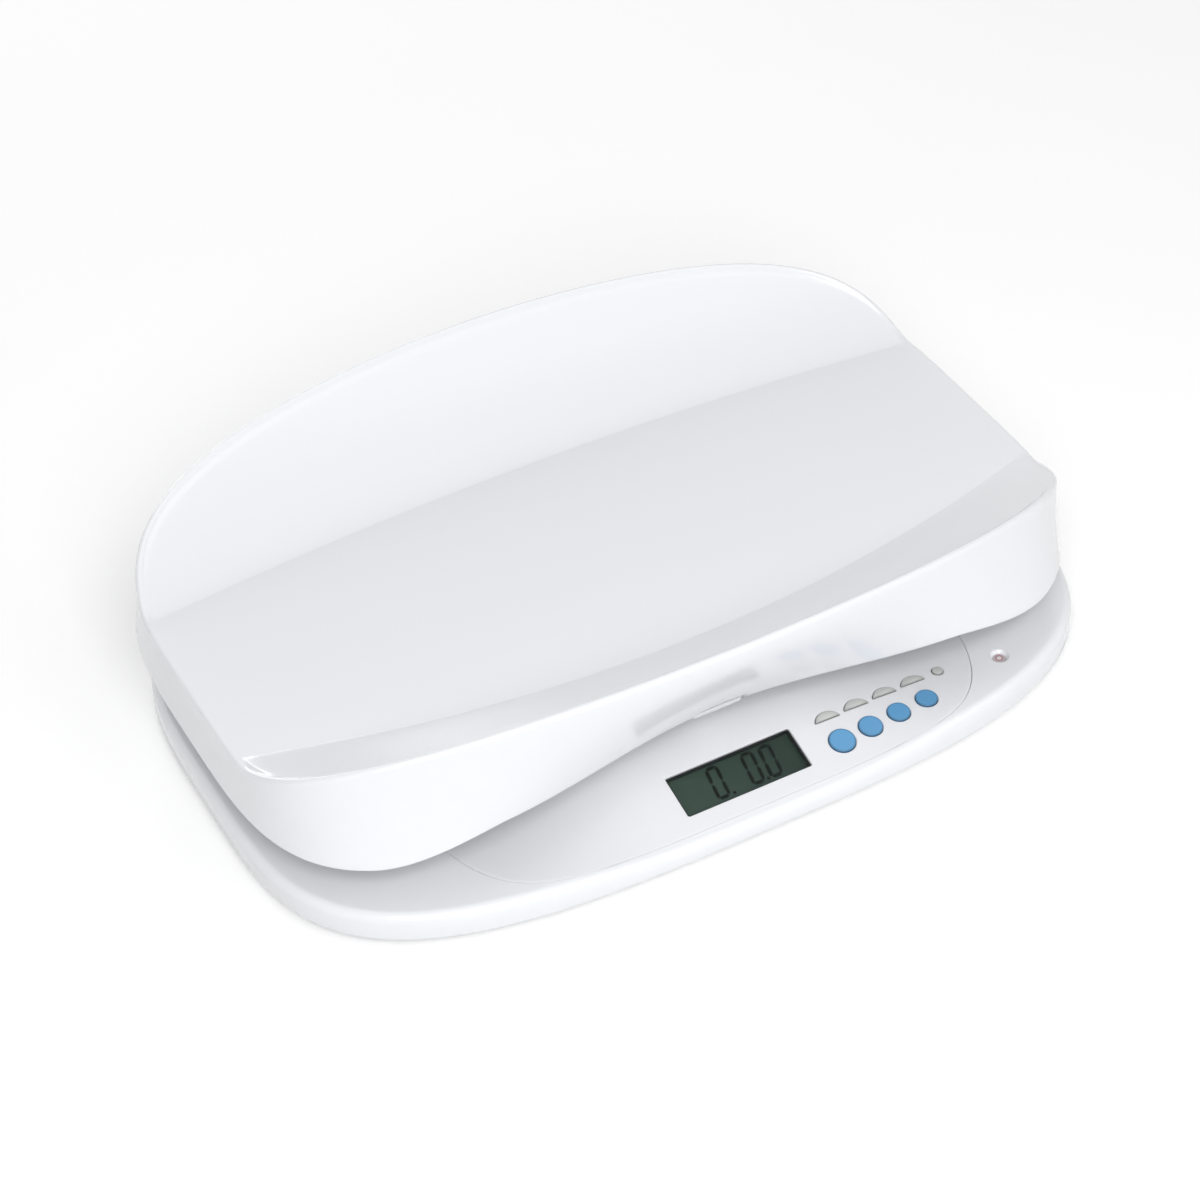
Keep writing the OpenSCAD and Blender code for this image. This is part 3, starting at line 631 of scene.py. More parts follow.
def base_top(x, y):
    """Height of the base's top: shelf and plateau joined by smooth ramps.

    The console's plane is blended in towards the middle.
    """
    size = settings().base
    shelf_z, plateau_z = size.shelf / MM, size.plateau / MM
    sides = smooth((SIDE_RAMP[0] - np.abs(x)) / SIDE_RAMP[1]) * smooth((BACK_RAMP[0] - y) / BACK_RAMP[1])
    middle = shelf_z + (plateau_z - shelf_z) * sides
    shelf = shelf_z + (middle - shelf_z) * smooth((y - FRONT_RAMP[0]) / FRONT_RAMP[1])
    slope = np.minimum(settings().console.height / MM + CONSOLE_SLOPE * (y - DISPLAY_Y), middle)
    w = 1 - smooth((np.abs(x) - CONSOLE_BLEND[0]) / (CONSOLE_BLEND[1] - CONSOLE_BLEND[0]))
    return w * slope + (1 - w) * shelf


def seat(shell, x, y):
    """The shell turned so that its Z is square to the console's surface at (x, y), and set on it there."""
    gx = base_top(x + 0.5, y) - base_top(x - 0.5, y)
    gy = base_top(x, y + 0.5) - base_top(x, y - 0.5)
    normal = Vector((-gx, -gy, 1)).normalized()
    turn = np.array(Vector((0, 0, 1)).rotation_difference(normal).to_matrix())
    return shell[0] @ turn.T + np.array([x, y, base_top(x, y)]), shell[1]


def base_outline():
    """The base's outline."""
    size = settings().base
    half, deep = size.width / MM / 2, size.depth / MM / 2
    return superellipse(half, deep, deep, *BASE_ROUND, 0, settings().around)


def panel_outline():
    """The panel's outline."""
    return superellipse(*PANEL, settings().around)


def on_base(outline, drop=0.0):
    """The outline as a ring on the base's surface, or drop mm below it."""
    return lift(outline, base_top(outline[:, 0], outline[:, 1]) - drop)


# Diameters of the round keys, width and height of the half-moon keys, and each row's first y and its step
ROUND_KEYS = (16.4, 14.8, 14.1, 13.6)
MOON_KEY = (17.2, 5.6)
ROUND_ROW = (-159.6, 1.55)
MOON_ROW = (-140.3, 1.05)
SMALL_KEY_AT = (148.2, -138)
SMALL_KEY_R = 3.5


def key_spots():
    """Each key's name, place and outline: the round, the half-moon and the small one."""
    size = settings().console
    circle = disc(96)
    spots = []
    for i, diameter in enumerate(ROUND_KEYS):
        x = (size.key_first + i * size.key_pitch) / MM
        spots.append((f"round_key_{i + 1}", x, ROUND_ROW[0] + ROUND_ROW[1] * i, circle * diameter / 2))
        spots.append((f"moon_key_{i + 1}", x, MOON_ROW[0] + MOON_ROW[1] * i, half_moon(*MOON_KEY)))
    spots.append(("small_key", *SMALL_KEY_AT, circle * SMALL_KEY_R))
    return spots


class ScaleOperator(bpy.types.Operator):
    """What the operators share."""

    bl_options = {"REGISTER", "UNDO"}


class SCALE_OT_housing(ScaleOperator):
    """The base's upper housing: surface from the panel's groove out to the rounded side, and back inside"""

    bl_idname = "baby_scale.housing"
    bl_label = "Base housing"

    def execute(self, context):
        size = settings().base
        wall, edge, lip = size.wall / MM, size.edge / MM, size.lip / MM
        line, hole = base_outline(), panel_outline()
        flat = inset(line, edge)
        flat_top = base_top(flat[:, 0], flat[:, 1])

        def rolled(a, t):
            """The rounded edge at the angle a from side to top, t mm under its surface."""
            out = inset(line, edge * (1 - math.cos(a)) + t * math.cos(a))
            return lift(out, flat_top - edge * (1 - math.sin(a)) - t * math.sin(a))

        angles = np.linspace(np.pi / 2, 0, 13)
        shares = np.concatenate([np.linspace(0, 0.2, 16)[1:], np.linspace(0.2, 1, 70)[1:]])
        lipped = inset(hole, -PANEL_LIP)
        outer = [on_base(hole, PANEL_LIP), on_base(inset(hole, -0.1), 0.1), on_base(lipped)]
        outer += [on_base(lipped + (flat - lipped) * s) for s in shares]
        outer += [rolled(a, 0) for a in angles[1:]]
        outer += [lift(line, lip + 2.0), lift(inset(line, 0.35), lip + 0.9), lift(inset(line, 1.5), lip)]
        inner = [lift(inset(line, wall + 1), lip)] + [rolled(a, wall) for a in angles[::-1]]
        inner += [on_base(hole + (flat - hole) * s, wall) for s in np.linspace(1, 0, 24)[1:]]
        shell = loft(outer + inner, closed=True)
        bosses = []
        for x, y in SCREWS:
            top = float(base_top(x, y)) - wall / 2
            bosses.append(turned([(1.4, 9.1), (4.5, 9.1), (4.5, top), (1.4, top)], 32, True, x, y))
        made = piece("housing_shell", join(shell, *bosses), glossy_abs())
        r = LEVEL_HOLE
        level = turned([(r, 10), (r, 23.9), (r + 0.1, 24.1), (r + 0.1, 40)], 64, False, *LEVEL_AT)
        cell = moved(slab(rounded(*CELL_HOLE[:2], 3), 30, 50, 0.1), (CELL_HOLE[2], 0, 0))
        x, y, z = INLET_AT
        inlet = tipped(rounded(*INLET_HOLE, 1.2), y - 4, y + 4, 0.1, x, z)
        carve(made, [level, cell, inlet])
        settle(made, "base", "white_shell", "base_top_housing")
        return {"FINISHED"}


class SCALE_OT_console(ScaleOperator):
    """The console panel let into the base, with its openings for the window and the keys"""

    bl_idname = "baby_scale.console"
    bl_label = "Console panel"

    def execute(self, context):
        size, wall = settings().console, settings().base.wall / MM
        line = inset(panel_outline(), size.groove / MM)
        centre = np.array(PANEL_MIDDLE)

        def at(share, drop, d=0.0):
            """The outline drawn in towards the panel's middle and set on the surface."""
            return on_base(centre + (inset(line, d) - centre) * share, drop)

        rings = [at(s, 0, PANEL_LIP) for s in np.linspace(0.01, 1, 64)]
        rings += [at(1, 0.1, 0.1), at(1, PANEL_LIP), at(1, wall)]
        rings += [at(s, wall) for s in np.linspace(1, 0.02, 12)[1:]]
        made = piece("console_shell", loft(rings), satin_abs())

        def opening(outline, low, ease, top, high):
            """A cutter of the outline from low to high, whose edge is eased outwards from the depth ease."""
            wide = inset(outline, -top)
            return loft([lift(outline, low), lift(outline, -ease), lift(wide, 0.1), lift(wide, high)])

        cutters = []
        for _, x, y, outline in key_spots():
            cutters.append(seat(opening(inset(outline, -KEY_GAP), -8, 0.3, 0.4, 5), x, y))
        window = rounded(size.display_w / MM + 0.4, size.display_h / MM + 0.4, 1.4)
        cutters.append(seat(opening(window, -9, 0.35, 0.45, 6), 0, DISPLAY_Y))
        carve(made, cutters)
        settle(made, "base", "console_grey", "console_panel")
        return {"FINISHED"}


# The digits: middles, the box between their strokes' middles, the stroke, the gap at a joint and the lean
DIGITS_X = (-13.2, 10.6, 22.8)
DIGITS_Y = 1.2
DIGIT_W, DIGIT_H = 6.8, 20.7
STROKE = 2.3
JOINT = 0.25
LEAN = math.tan(math.radians(6))
INK = 0.05
# The decimal points
POINTS_X = (-7.4, 15.9)
POINTS_Y = -9.1
POINT_R = 1.1
# Tops of the display's glass and of its ink under the console's surface
GLASS_TOP, INK_TOP = -4.6, -4.59


def digit_zero(x, y):
    """The six lit segments of a leaning 0 about (x, y): each a bar with pointed ends."""
    corners = np.array([(-1, 1), (1, 1), (1, 0), (1, -1), (-1, -1), (-1, 0)]) * (DIGIT_W / 2, DIGIT_H / 2)
    bars = []
    for start, end in zip(corners, np.roll(corners, -1, 0)):
        along = (end - start) / np.linalg.norm(end - start)
        across = np.array([-along[1], along[0]]) * STROKE / 2
        a, b = start + along * JOINT, end - along * JOINT
        points = [a, a + along * STROKE / 2 - across, b - along * STROKE / 2 - across, b]
        points += [b - along * STROKE / 2 + across, a + along * STROKE / 2 + across]
        outline = np.array(points)
        outline = np.column_stack([outline[:, 0] + x + outline[:, 1] * LEAN, outline[:, 1] + y])
        bars.append(loft([lift(outline, 0), lift(outline, INK)]))
    return bars


class SCALE_OT_display(ScaleOperator):
    """The window, the display under it and its plain digits"""

    bl_idname = "baby_scale.display"
    bl_label = "Display"

    def execute(self, context):
        size = settings().console
        w, h = size.display_w / MM, size.display_h / MM
        window = seat(slab(rounded(w, h, 1.2), -1.5, -0.3, 0.15), 0, DISPLAY_Y)
        settle(piece("window_pane", window, clear_acrylic()), "base", "window_clear", "display_window")
        glass = seat(slab(rounded(88, 32.6, 0.6), -7.4, GLASS_TOP, 0.2), 0, DISPLAY_Y)
        settle(piece("display_glass", glass, display_glass()), "base", "lcd_green", "lcd_module")
        bars = []
        for x in DIGITS_X:
            bars += digit_zero(x, DIGITS_Y)
        for x in POINTS_X:
            dot = disc(24, POINT_R) + [x, POINTS_Y]
            bars.append(loft([lift(dot, 0), lift(dot, INK)]))
        digits = seat(moved(join(*bars), (0, 0, INK_TOP)), 0, DISPLAY_Y)
        settle(piece("display_digits", digits, display_ink()), "base", "lcd_green")
        dress("lcd_holder", black_polycarbonate())
        return {"FINISHED"}


def dress(node, finish):
    """A CAD node's faces all get the material."""
    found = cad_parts[node]
    if not found.material_slots:
        found.data.materials.append(finish)
    for one in found.material_slots:
        one.material = finish


# Top and underside of the flange under a key, below the console's surface
FLANGE_AT = (-3.4, -4.4)


class SCALE_OT_keys(ScaleOperator):
    """The keycaps: crowned tops with rounded edges, a flange and a stem each"""

    bl_idname = "baby_scale.keys"
    bl_label = "Keys"

    def execute(self, context):
        rise = settings().console.key_rise / MM
        for name, x, y, outline in key_spots():
            blue = name.startswith("round")
            crown, r = (0.0, 0.45) if blue else (0.25, 0.55)
            dish = 0.18 if blue else 0.0
            # The top dips by the dish and falls by the crown at its edge; r rounds that edge
            shares = np.linspace(0.03, 1, 12)
            inner = inset(outline, r)
            rings = [lift(inner * s, rise - crown * s * s - dish * (1 - s * s)) for s in shares]
            edges = [np.linalg.norm(inner * s, axis=1) / np.linalg.norm(outline, axis=1) for s in shares]
            top = rise - crown
            for a in np.linspace(0, np.pi / 2, 6)[1:]:
                d = r * (1 - math.sin(a))
                rings.append(lift(inset(outline, d), top - r * (1 - math.cos(a))))
                edges.append(np.full(len(outline), 0.9 + 0.1 * a / (np.pi / 2)))
            flange = inset(outline, -0.9)
            low, under = FLANGE_AT
            rings += [lift(outline, low), lift(flange, low), lift(flange, under), lift(flange * 0.1, under)]
            edges += [np.ones(len(outline))] * 4
            cap = loft(rings)
            stem = turned([(0.05, -4.3), (1.5, -4.3), (1.5, -6.3), (0.05, -6.4)], 32)
            shell = seat(join(cap, stem), x, y)
            finish = tinted_acrylic() if blue else grey_keycap()
            made = piece(name + "_cap", shell, finish, 50)
            # How far out each point is: 0 at the top's middle, 1 at the side and on the stem; it sets where
            # the keycap's painted shade falls
            values = np.ones(len(shell[0]), np.float32)
            values[: len(rings) * len(outline)] = np.concatenate(edges)
            values[len(rings) * len(outline)] = 0
            made.data.attributes.new("edge", "FLOAT", "POINT").data.foreach_set("value", values)
            settle(made, name, "key_blue" if blue else "key_grey", name)
        return {"FINISHED"}


class SCALE_OT_level(ScaleOperator):
    """The bubble level: a flared cup, the vial in it, its ring and its bubble"""

    bl_idname = "baby_scale.level"
    bl_label = "Bubble level"

    def execute(self, context):
        cup = [(4.05, 15), (4.05, 22.2), (4.15, 22.35), (5.65, 23.85), (5.8, 23.96), (6.0, 24.0)]
        cup += [(6.15, 23.95), (6.2, 23.8), (6.2, 14), (0.1, 14), (0.1, 15)]
        vial = [(0.05, 22.3), (3.5, 22.3), (3.8, 22.25), (3.95, 22.1), (4.0, 21.8), (4.0, 15.0), (0.05, 15.0)]
        ring = [(1.9, 22.32), (1.95, 22.44), (2.35, 22.44), (2.4, 22.32)]
        quarter = np.linspace(0, np.pi / 2, 8)
        dome = [(max(0.03, 1.35 * math.sin(a)), 22.31 + 0.12 * math.cos(a)) for a in quarter]
        dome.append((0.03, 22.29))
        # Name, profile, points round it, whether the profile is closed, finish, sharp angle, slot, CAD nodes
        parts = [
            ("level_cup", cup, 96, True, glossy_abs, 40, "white_shell", "level_bezel"),
            ("level_vial_body", vial, 64, False, vial_acrylic, 35, "vial_clear", "level_vial"),
            ("level_ring_print", ring, 64, True, ring_ink, 35, "ring_red", "level_ring"),
            ("level_bubble", dome, 48, False, bubble_air, 35, "vial_clear"),
        ]
        for name, profile, n, closed, finish, sharp, slot, *nodes in parts:
            shell = turned(profile, n, closed, *LEVEL_AT)
            settle(piece(name, shell, finish(), sharp), "base", slot, *nodes)
        return {"FINISHED"}


# ---------- the tray ----------

# Exponents of the rim's outline; the skirt's lower outline: half width, front and back depths, exponents
RIM = (1.92, 5.18)
SKIRT = (275.8, 165, 177.8, 5.8, 3.5)
# In front, the skirt's lower edge is drawn back, by how much at most and within what half width, and it
# rises, from what half width and over what length
DRAWN_BACK = (23.2, 182)
ARCH = (228, 82)
# Where each wall leaves the floor at the middle, and how far that shifts at the ends
CREASE = {-1: (-92.8, 44.1), 1: (99.4, -17.2)}
# How hollow each wall is
BEND = {-1: 1.1, 1: 1.3}
# Where the rim starts to rise, and its slope from there
START = {-1: -56.5, 1: 85}
RISE = {-1: 0.48, 1: 0.61}
START_SOFT = 5.5
# The rim: where the wall's curve begins and ends within the outline, and the depth of the roll's outer side
RIM_FROM, RIM_TO = 5, 2.6
ROLL = 3.5
# The notch for the lever: width, height, middle height and corner radius
NOTCH = (34.6, 15, 59.2, 3.2)


def rim_rise(y):
    """Height of the rim over the floor: on each side a slope from where it starts.

    It is eased in as the root of d^2 + s^2, less s.
    """
    total = 0
    for side in (-1, 1):
        d = np.maximum(0, side * (y - START[side]))
        total = total + RISE[side] * (np.sqrt(d * d + START_SOFT**2) - START_SOFT)
    return total


def tray_top(x, y):
    """Height of the tray's inside: the floor, and each wall as a power of the way from crease to rim."""
    size = settings().tray
    half, deep, middle = size.width / MM / 2, size.depth / MM / 2, size.middle / MM
    z = np.full(np.shape(x), size.floor / MM)
    reach = np.maximum(0, 1 - np.minimum(1, np.abs(x) / half) ** RIM[0]) ** (1 / RIM[1])
    for side in (-1, 1):
        rim_y = middle + side * deep * reach
        crease = CREASE[side][0] + CREASE[side][1] * (x / half) ** 2
        full, d = side * (rim_y - crease), side * (y - crease)
        t = np.clip(d / np.maximum(full, 1), 0, 1) ** BEND[side]
        z = z + np.where((full < 1) | (d <= 0), 0, rim_rise(rim_y) * t)
    return z


def crease_share(ray):
    """For each ray from the middle, the share of it at which it meets the crease on its side.

    The share is the root of a f^2 + b f + c.
    """
    size = settings().tray
    half, middle = size.width / MM / 2, size.middle / MM
    side = np.where(ray[:, 1] < 0, -1, 1)
    start, shift = np.where(side < 0, *(np.array(CREASE[v])[:, None] for v in (-1, 1)))
    start = start - middle
    a = -side * shift * (ray[:, 0] / half) ** 2
    b = side * ray[:, 1]
    c = -np.abs(start)
    return np.clip(-2 * c / (b + np.sqrt(b * b - 4 * a * c) + 1e-9), 0, 0.985)


def tray_rings(d, drop, floor_steps, wall_steps):
    """Rings over the tray's inside out to d mm within the rim, one of them lying on the creases."""
    size = settings().tray
    middle = np.array([0, size.middle / MM])
    ray = inset(rim_outline(), d) - middle
    crease = crease_share(ray)[:, None]
    u = np.linspace(0, 1, floor_steps + 1)
    v = np.linspace(0, 1, wall_steps + 1)[1:]
    shares = [crease * g for g in 0.01 + 0.99 * (1 - (1 - u) ** 1.4)]
    shares += [crease + (1 - crease) * h for h in v**1.4]
    flat = [middle + ray * s for s in shares]
    return [lift(p, tray_top(p[:, 0], p[:, 1]) - drop) for p in flat]


def rim_outline():
    """The rim's outline."""
    size = settings().tray
    deep = size.depth / MM / 2
    return superellipse(size.width / MM / 2, deep, deep, *RIM, size.middle / MM, settings().around)


class SCALE_OT_tray(ScaleOperator):
    """The trough tray: floor, walls, rolled rim and the skirt that flares out and arches over the console"""

    bl_idname = "baby_scale.tray"
    bl_label = "Tray"

    def execute(self, context):
        size = settings().tray
        wall, floor = size.wall / MM, size.floor / MM
        rim = rim_outline()
        foot = superellipse(*SKIRT, size.middle / MM, settings().around)
        crest = floor + rim_rise(rim[:, 1])
        rings = tray_rings(RIM_FROM, 0, 46, 34)
        start = rings[-1][:, 2]
        for t in np.linspace(0, 1, 8)[1:]:
            # A Bezier curve from the wall up to the crest
            w = np.array([(1 - t) ** 3, 3 * t * (1 - t) ** 2, 3 * t * t * (1 - t), t**3])
            d = w @ np.array([RIM_FROM, 4.3, 3.7, RIM_TO])
            z = start * (w[0] + 0.55 * w[1]) + crest * (0.45 * w[1] + w[2] + w[3])
            rings.append(lift(inset(rim, d), z))
        for a in np.linspace(np.pi / 2, 0, 9)[1:]:
            rings.append(lift(inset(rim, RIM_TO * (1 - math.cos(a))), crest - ROLL * (1 - math.sin(a))))
        x = np.abs(foot[:, 0])
        front = foot[:, 1] < size.middle / MM
        back = np.where(front, DRAWN_BACK[0] * smooth(1 - x / DRAWN_BACK[1]), 0)
        low = size.skirt / MM + np.where(front, size.arch / MM * smooth((ARCH[0] - x) / ARCH[1]), 0)
        height = crest - ROLL - low
        round_from = 1 - 0.4 * wall / height

        def skirt(t, d):
            """The skirt at the share t of its height, d mm within its face: its lean goes as t^1.5."""
            t = np.broadcast_to(t, len(rim))[:, None]
            top, end = inset(rim, d), inset(foot, d) + np.column_stack([0 * back, back])
            return lift(top + (end - top) * t**1.5, crest - ROLL - height * t[:, 0])

        rings += [skirt(round_from * s, 0) for s in np.linspace(0, 1, 27)[1:-1]]
        for a in np.linspace(0, np.pi, 9):
            up = 0.4 * wall * (1 - math.sin(a))
            rings.append(skirt(1 - up / height, wall / 2 * (1 - math.cos(a))))
        rings += [skirt(round_from * s, wall) for s in np.linspace(0.98, 0.14, 14)]
        rings += tray_rings(RIM_FROM + wall, wall, 12, 12)[::-1]
        made = piece("tray_shell", loft(rings), glossy_abs(), 60)
        w, h, z, r = NOTCH
        carve(made, [tipped(rounded(w, h, r), -150, -120, 0.1, 0, z)], 50)
        settle(made, "tray", "white_shell", "tray")
        return {"FINISHED"}


# ---------- lever, feet and door ----------


# Width and depth of the lever's lip, how far its front edge falls back at the ends, and the pin's middle
LIP = (33, 3.8, 2)
PIVOT = (0, -90, 61)


class SCALE_OT_lever(ScaleOperator):
    """The release lever: a rounded lip under the skirt, its arm, hub and tail"""

    bl_idname = "baby_scale.lever"
    bl_label = "Release lever"

    def execute(self, context):
        w, depth, bow = LIP
        # The lip's front edge is bowed and its rear edge is straight
        bar = rounded(w, depth, 1.8, 160)
        bar[:, 1] += bow * (2 * bar[:, 0] / w) ** 2 * (0.5 - bar[:, 1] / depth)
        lip = moved(slab(bar, 55.6, 58.6, 0.8, 6), (0, -127.9, 0))
        arm = moved(slab(rounded(16, 36.4, 1), 54.7, 56.6, 0.5), (0, -109.2, 0))
        tail = moved(slab(rounded(12, 3, 0.8), 50, 61, 0.4), (0, -91.3, 0))
        hub = turned([(2.05, -8), (4.0, -8), (4.5, -7.5), (4.5, 7.5), (4.0, 8), (2.05, 8)], 48, True)
        hub = hub[0][:, [2, 0, 1]] + np.array(PIVOT), hub[1]
        made = piece("lever_body", join(lip, arm, tail, hub), satin_abs(), 50)
        settle(made, "lever", "lever_white", "release_lever")
        return {"FINISHED"}


# The foot screws: the wheel's radius, and the thread's root radius, depth and pitch
WHEEL_R = 12
THREAD_ROOT, THREAD_DEPTH, PITCH = 3.62, 0.36, 1.25


class SCALE_OT_feet(ScaleOperator):
    """The levelling feet: grooved rubber pads, and screws with a knurled wheel and a rolled thread"""

    bl_idname = "baby_scale.feet"
    bl_label = "Feet"

    def execute(self, context):
        pad = [(0.05, 0.5), (3, 0.5), (3.2, 0), (6, 0), (6.2, 0.6), (7.2, 0.6), (7.4, 0), (10, 0)]
        pad += [(10.2, 0.6), (11.2, 0.6), (11.4, 0), (12.4, 0)]
        pad += [(13, 0.6), (13, 2.8), (12.5, 3.38), (0.05, 3.38)]
        t = round_angles(96)
        circle = disc(96)
        knurl = WHEEL_R - 0.25 * (1 + np.cos(48 * t)) / 2
        wheel = [(0.01, 3.42), (0.93, 3.42), (1.0, 3.9), (1.0, 5.9), (0.93, 6.38), (0.36, 6.38)]
        head = [lift(circle * knurl[:, None] * share, z) for share, z in wheel]
        for z in np.arange(6.3, 19.8, 0.16):
            # The thread: a zigzag, once out and in for each turn, that shifts by a turn in a pitch
            turn = (t / (2 * np.pi) + z / PITCH) % 1
            r = THREAD_ROOT + THREAD_DEPTH * np.abs(2 * turn - 1)
            head.append(lift(circle * r[:, None], z))
        head.append(lift(circle * 3.2, 19.98))
        for k, (x, y) in enumerate(FEET, 1):
            shoe = piece(f"foot_shoe_{k}", turned(pad, 96, False, x, y), moulded_rubber())
            settle(shoe, f"foot_pad_{k}", "rubber", f"foot_pad_{k}")
            stud = piece(f"foot_stud_{k}", moved(loft(head), (x, y, 0)), zinc_steel())
            settle(stud, f"foot_screw_{k}", "steel", f"foot_screw_{k}")
        return {"FINISHED"}


class SCALE_OT_door(ScaleOperator):
    """The battery door: a rounded plate with a finger recess and grip ribs"""

    bl_idname = "baby_scale.door"
    bl_label = "Battery door"

    def execute(self, context):
        low, high = (np.array(v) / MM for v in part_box("battery_door"))
        middle, size = (low + high) / 2, high - low
        plate = slab(rounded(size[0], size[1], 2.5, 128), low[2], high[2], 0.35)
        made = piece("door_plate", moved(plate, (middle[0], middle[1], 0)), glossy_abs())
        cuts = [moved(slab(rounded(24, 4, 1.8), low[2] - 3, low[2] + 1.1, 0.4), (middle[0], low[1] + 6, 0))]
        for i in range(5):
            spot = (middle[0], low[1] + 12 + 2.4 * i, 0)
            cuts.append(moved(slab(rounded(30, 1.0, 0.45), low[2] - 3, low[2] + 0.4, 0.1), spot))
        carve(made, cuts)
        settle(made, "battery_door", "white_shell", "battery_door")
        return {"FINISHED"}


class SCALE_OT_inner(ScaleOperator):
    """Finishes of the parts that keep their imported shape"""

    bl_idname = "baby_scale.inner"
    bl_label = "Inner parts"

    def execute(self, context):
        finishes = {
            glossy_abs: ["base_bottom_pan"],
            plain_moulding: ["battery_box", "tray_underframe"],
            black_polycarbonate: ["key_switches", "inlet_socket"],
            circuit_board: ["main_circuit_board", "key_switch_board"],
            cable_pvc: ["sensor_cable", "display_cable", "power_cable"],
            battery_sleeve: ["batteries"],
            milled_aluminium: ["load_cell", "load_cell_packer", "platform_spacer"],
            cast_aluminium: ["platform_frame"],
            zinc_steel: [
                *("load_cell_plate", "load_cell_bolts", "overload_stops", "housing_screws", "platform_bolts"),
                *("lever_bracket", "lever_pin", "lever_spring", "battery_contacts"),
            ],
            turned_brass: ["foot_inserts"],
            moulded_rubber: ["support_pads"],
        }
        for finish, nodes in finishes.items():
            for node in nodes:
                dress(node, finish())
        return {"FINISHED"}


# ---------- stage ----------

# Metres here, and degrees. The point that camera and lamps face, and the camera's place from there
AIM = (0, 0.004, 0.05)
VIEW_FROM = (-27.0173, 41.5397)
VIEW_ROLL = 2.5419
VIEW_AWAY = 1.930858
VIEW_SHIFT = (-0.0056382, 0.0066672)
LAMP_AWAY = 2.9
LAMP_WIDTH = 1.8
FLOOR_HALF = 4.0
# How much brighter the floor is to the camera than it is lit
FLOOR_LIFT = 0.24


def towards(azimuth, elevation):
    """The direction from the tray at an azimuth, from the front to the right, and an elevation."""
    a, e = math.radians(azimuth), math.radians(elevation)
    return Vector((math.sin(a) * math.cos(e), -math.cos(a) * math.cos(e), math.sin(e)))


def any_ray(tree, *kinds):
    """A socket that is 1 for rays of those kinds and 0 for others."""
    path = add(tree, "ShaderNodeLightPath")
    seen = path.outputs[kinds[0]]
    for kind in kinds[1:]:
        seen = add(tree, "ShaderNodeMath", {0: seen, 1: path.outputs[kind]}, operation="MAXIMUM").outputs[0]
    return seen


class SCALE_OT_stage(ScaleOperator):
    """Pale floor, soft light and the camera"""

    bl_idname = "baby_scale.stage"
    bl_label = "Stage"

    def execute(self, context):
        scene, studio = context.scene, settings().studio
        scene.view_settings.view_transform = "Standard"
        roll = math.radians(VIEW_ROLL)
        back = towards(*VIEW_FROM)
        right = (-back).cross(Vector((0, 0, 1))).normalized()
        down = (-back).cross(right)
        across = math.cos(roll) * right + math.sin(roll) * down
        below = -math.sin(roll) * right + math.cos(roll) * down
        aim = Vector(AIM)
        place = aim + VIEW_SHIFT[0] * across + VIEW_SHIFT[1] * below + VIEW_AWAY * back
        lens = bpy.data.cameras.new("camera")
        lens.lens = studio.focal
        lens.sensor_width = 36
        lens.sensor_fit = "HORIZONTAL"
        lens.clip_start, lens.clip_end = 0.05, 60
        camera = bpy.data.objects.new("camera", lens)
        turn = Matrix((across, -below, back)).transposed()
        camera.matrix_world = Matrix.Translation(place) @ turn.to_4x4()
        scene.collection.objects.link(camera)
        scene.camera = camera

        # Softboxes: azimuth and elevation in degrees, as seen from the tray, and power
        lights = [
            ("front_softbox", -20, 42, studio.key_light),
            ("back_softbox", 180, 18, studio.back_light),
            ("side_softbox", 40, 45, studio.side_light),
        ]
        for name, azimuth, elevation, power in lights:
            spot = aim + LAMP_AWAY * towards(azimuth, elevation)
            lamp = bpy.data.lights.new(name, "AREA")
            lamp.shape = "SQUARE"
            lamp.size = LAMP_WIDTH
            lamp.energy = power
            holder = bpy.data.objects.new(name, lamp)
            facing = (aim - spot).to_track_quat("-Z", "Y")
            holder.matrix_world = Matrix.Translation(spot) @ facing.to_matrix().to_4x4()
            scene.collection.objects.link(holder)

        world = bpy.data.worlds.new("surroundings")
        world.use_nodes = True
        scene.world = world
        tree = world.node_tree
        sky = tree.nodes["Background"]
        seen = any_ray(tree, "Is Camera Ray", "Is Glossy Ray", "Is Transmission Ray")
        level = add(tree, "ShaderNodeMapRange", {"Value": seen, "To Min": studio.ambient, "To Max": 1.0})
        sky.inputs["Color"].default_value = (1, 1, 1, 1)
        tree.links.new(level.outputs[0], sky.inputs["Strength"])

        wide = np.array([[-1, -1], [1, -1], [1, 1], [-1, 1]]) * FLOOR_HALF
        mesh = bpy.data.meshes.new("floor")
        mesh.from_pydata(lift(wide, 0.0), [], [[0, 1, 2, 3]])
        floor = bpy.data.objects.new("floor", mesh)
        scene.collection.objects.link(floor)
        mesh.materials.append(material("floor_paper_white", paper))
        return {"FINISHED"}


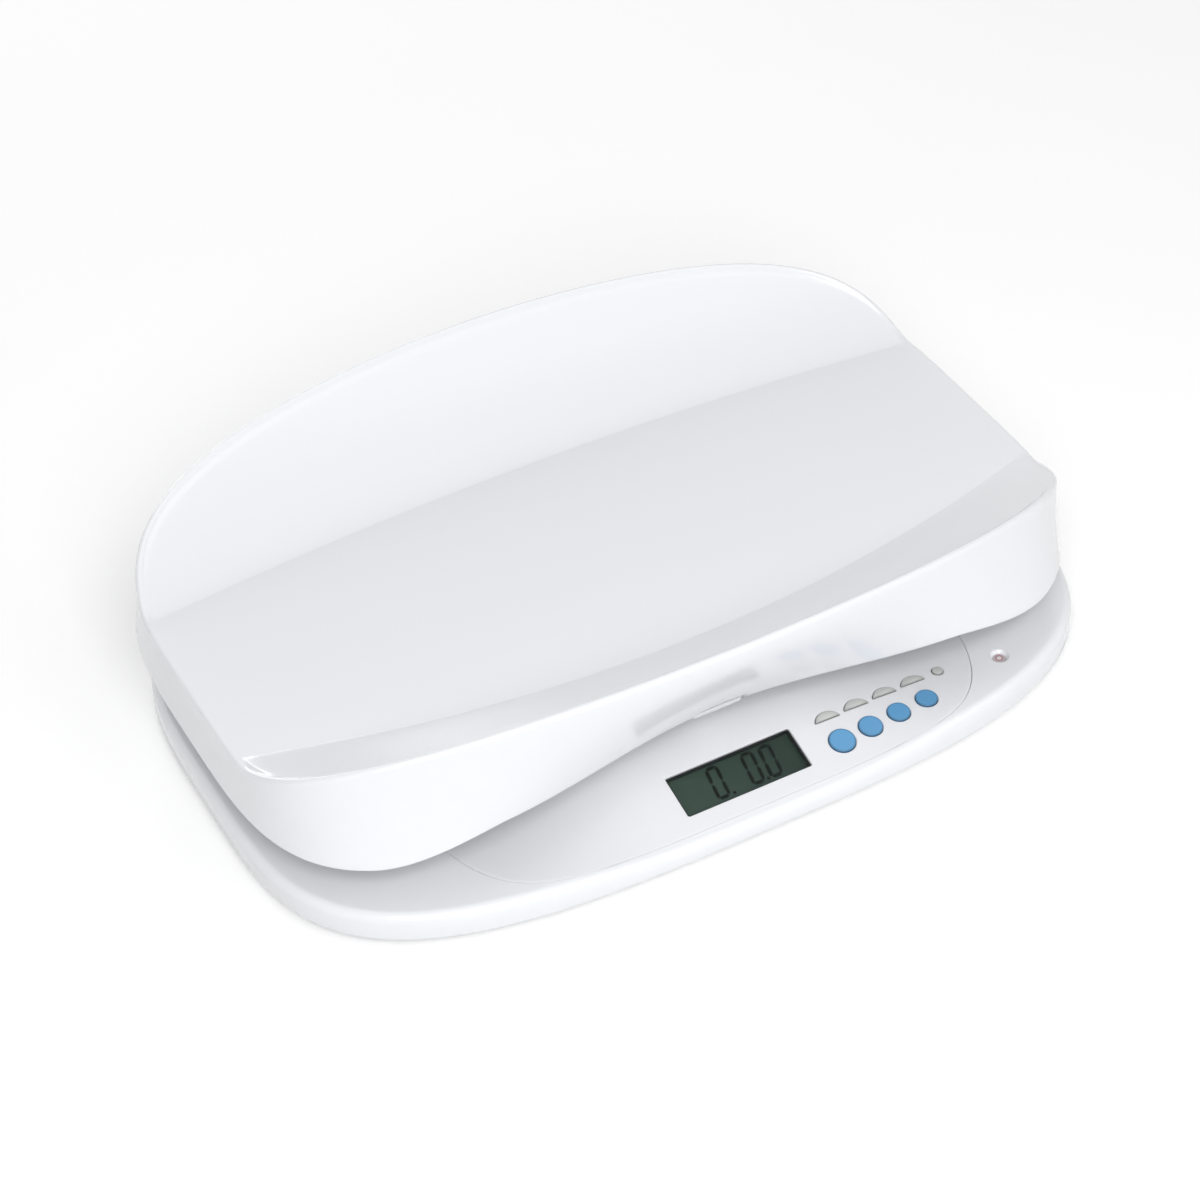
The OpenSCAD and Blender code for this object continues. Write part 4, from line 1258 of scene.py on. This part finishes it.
def paper(tree, shader, place):
    """Matt studio paper, brighter to the camera and in reflections: it reads white and keeps the shadow."""
    surface(tree, shader, place, ("#F4F4F4", "#F0F0F0"), (0.85, 0.95), 400, 2, 0.01)
    seen = any_ray(tree, "Is Camera Ray", "Is Glossy Ray")
    level = add(tree, "ShaderNodeMapRange", {"Value": seen, "To Min": 0.0, "To Max": FLOOR_LIFT})
    shader.inputs["Emission Color"].default_value = (1, 1, 1, 1)
    shader.inputs["Specular IOR Level"].default_value = 0.0
    tree.links.new(level.outputs[0], shader.inputs["Emission Strength"])


# ---------- add-on ----------

BUILDERS = (
    SCALE_OT_stage,
    SCALE_OT_tray,
    SCALE_OT_housing,
    SCALE_OT_console,
    SCALE_OT_display,
    SCALE_OT_keys,
    SCALE_OT_level,
    SCALE_OT_lever,
    SCALE_OT_feet,
    SCALE_OT_door,
    SCALE_OT_inner,
)


class SCALE_PT_panel(bpy.types.Panel):
    """Lists the builders and their settings."""

    bl_idname = "SCALE_PT_panel"
    bl_label = "Baby Scale"
    bl_space_type = "VIEW_3D"
    bl_region_type = "UI"
    bl_category = "Baby Scale"

    def draw(self, context):
        chosen = settings()
        for name in ("base", "console", "tray", "finish", "studio"):
            group = getattr(chosen, name)
            box = self.layout.box()
            box.label(text=name.title())
            for field in group.bl_rna.properties:
                if field.identifier not in ("rna_type", "name"):
                    box.prop(group, field.identifier)
        self.layout.prop(chosen, "around")
        for builder in BUILDERS:
            self.layout.operator(builder.bl_idname)


CLASSES = (BaseSizes, ConsoleSizes, TraySizes, Finishes, Studio, ScaleSettings, *BUILDERS, SCALE_PT_panel)


def register():
    """Registers the classes and the scene's settings."""
    for one in CLASSES:
        bpy.utils.register_class(one)
    bpy.types.Scene.baby_scale = PointerProperty(type=ScaleSettings)


def unregister():
    """Takes back what register added."""
    del bpy.types.Scene.baby_scale
    for one in reversed(CLASSES):
        bpy.utils.unregister_class(one)


def main():
    register()
    for builder in BUILDERS:
        group, name = builder.bl_idname.split(".")
        getattr(getattr(bpy.ops, group), name)()


if __name__ == "__main__":
    main()
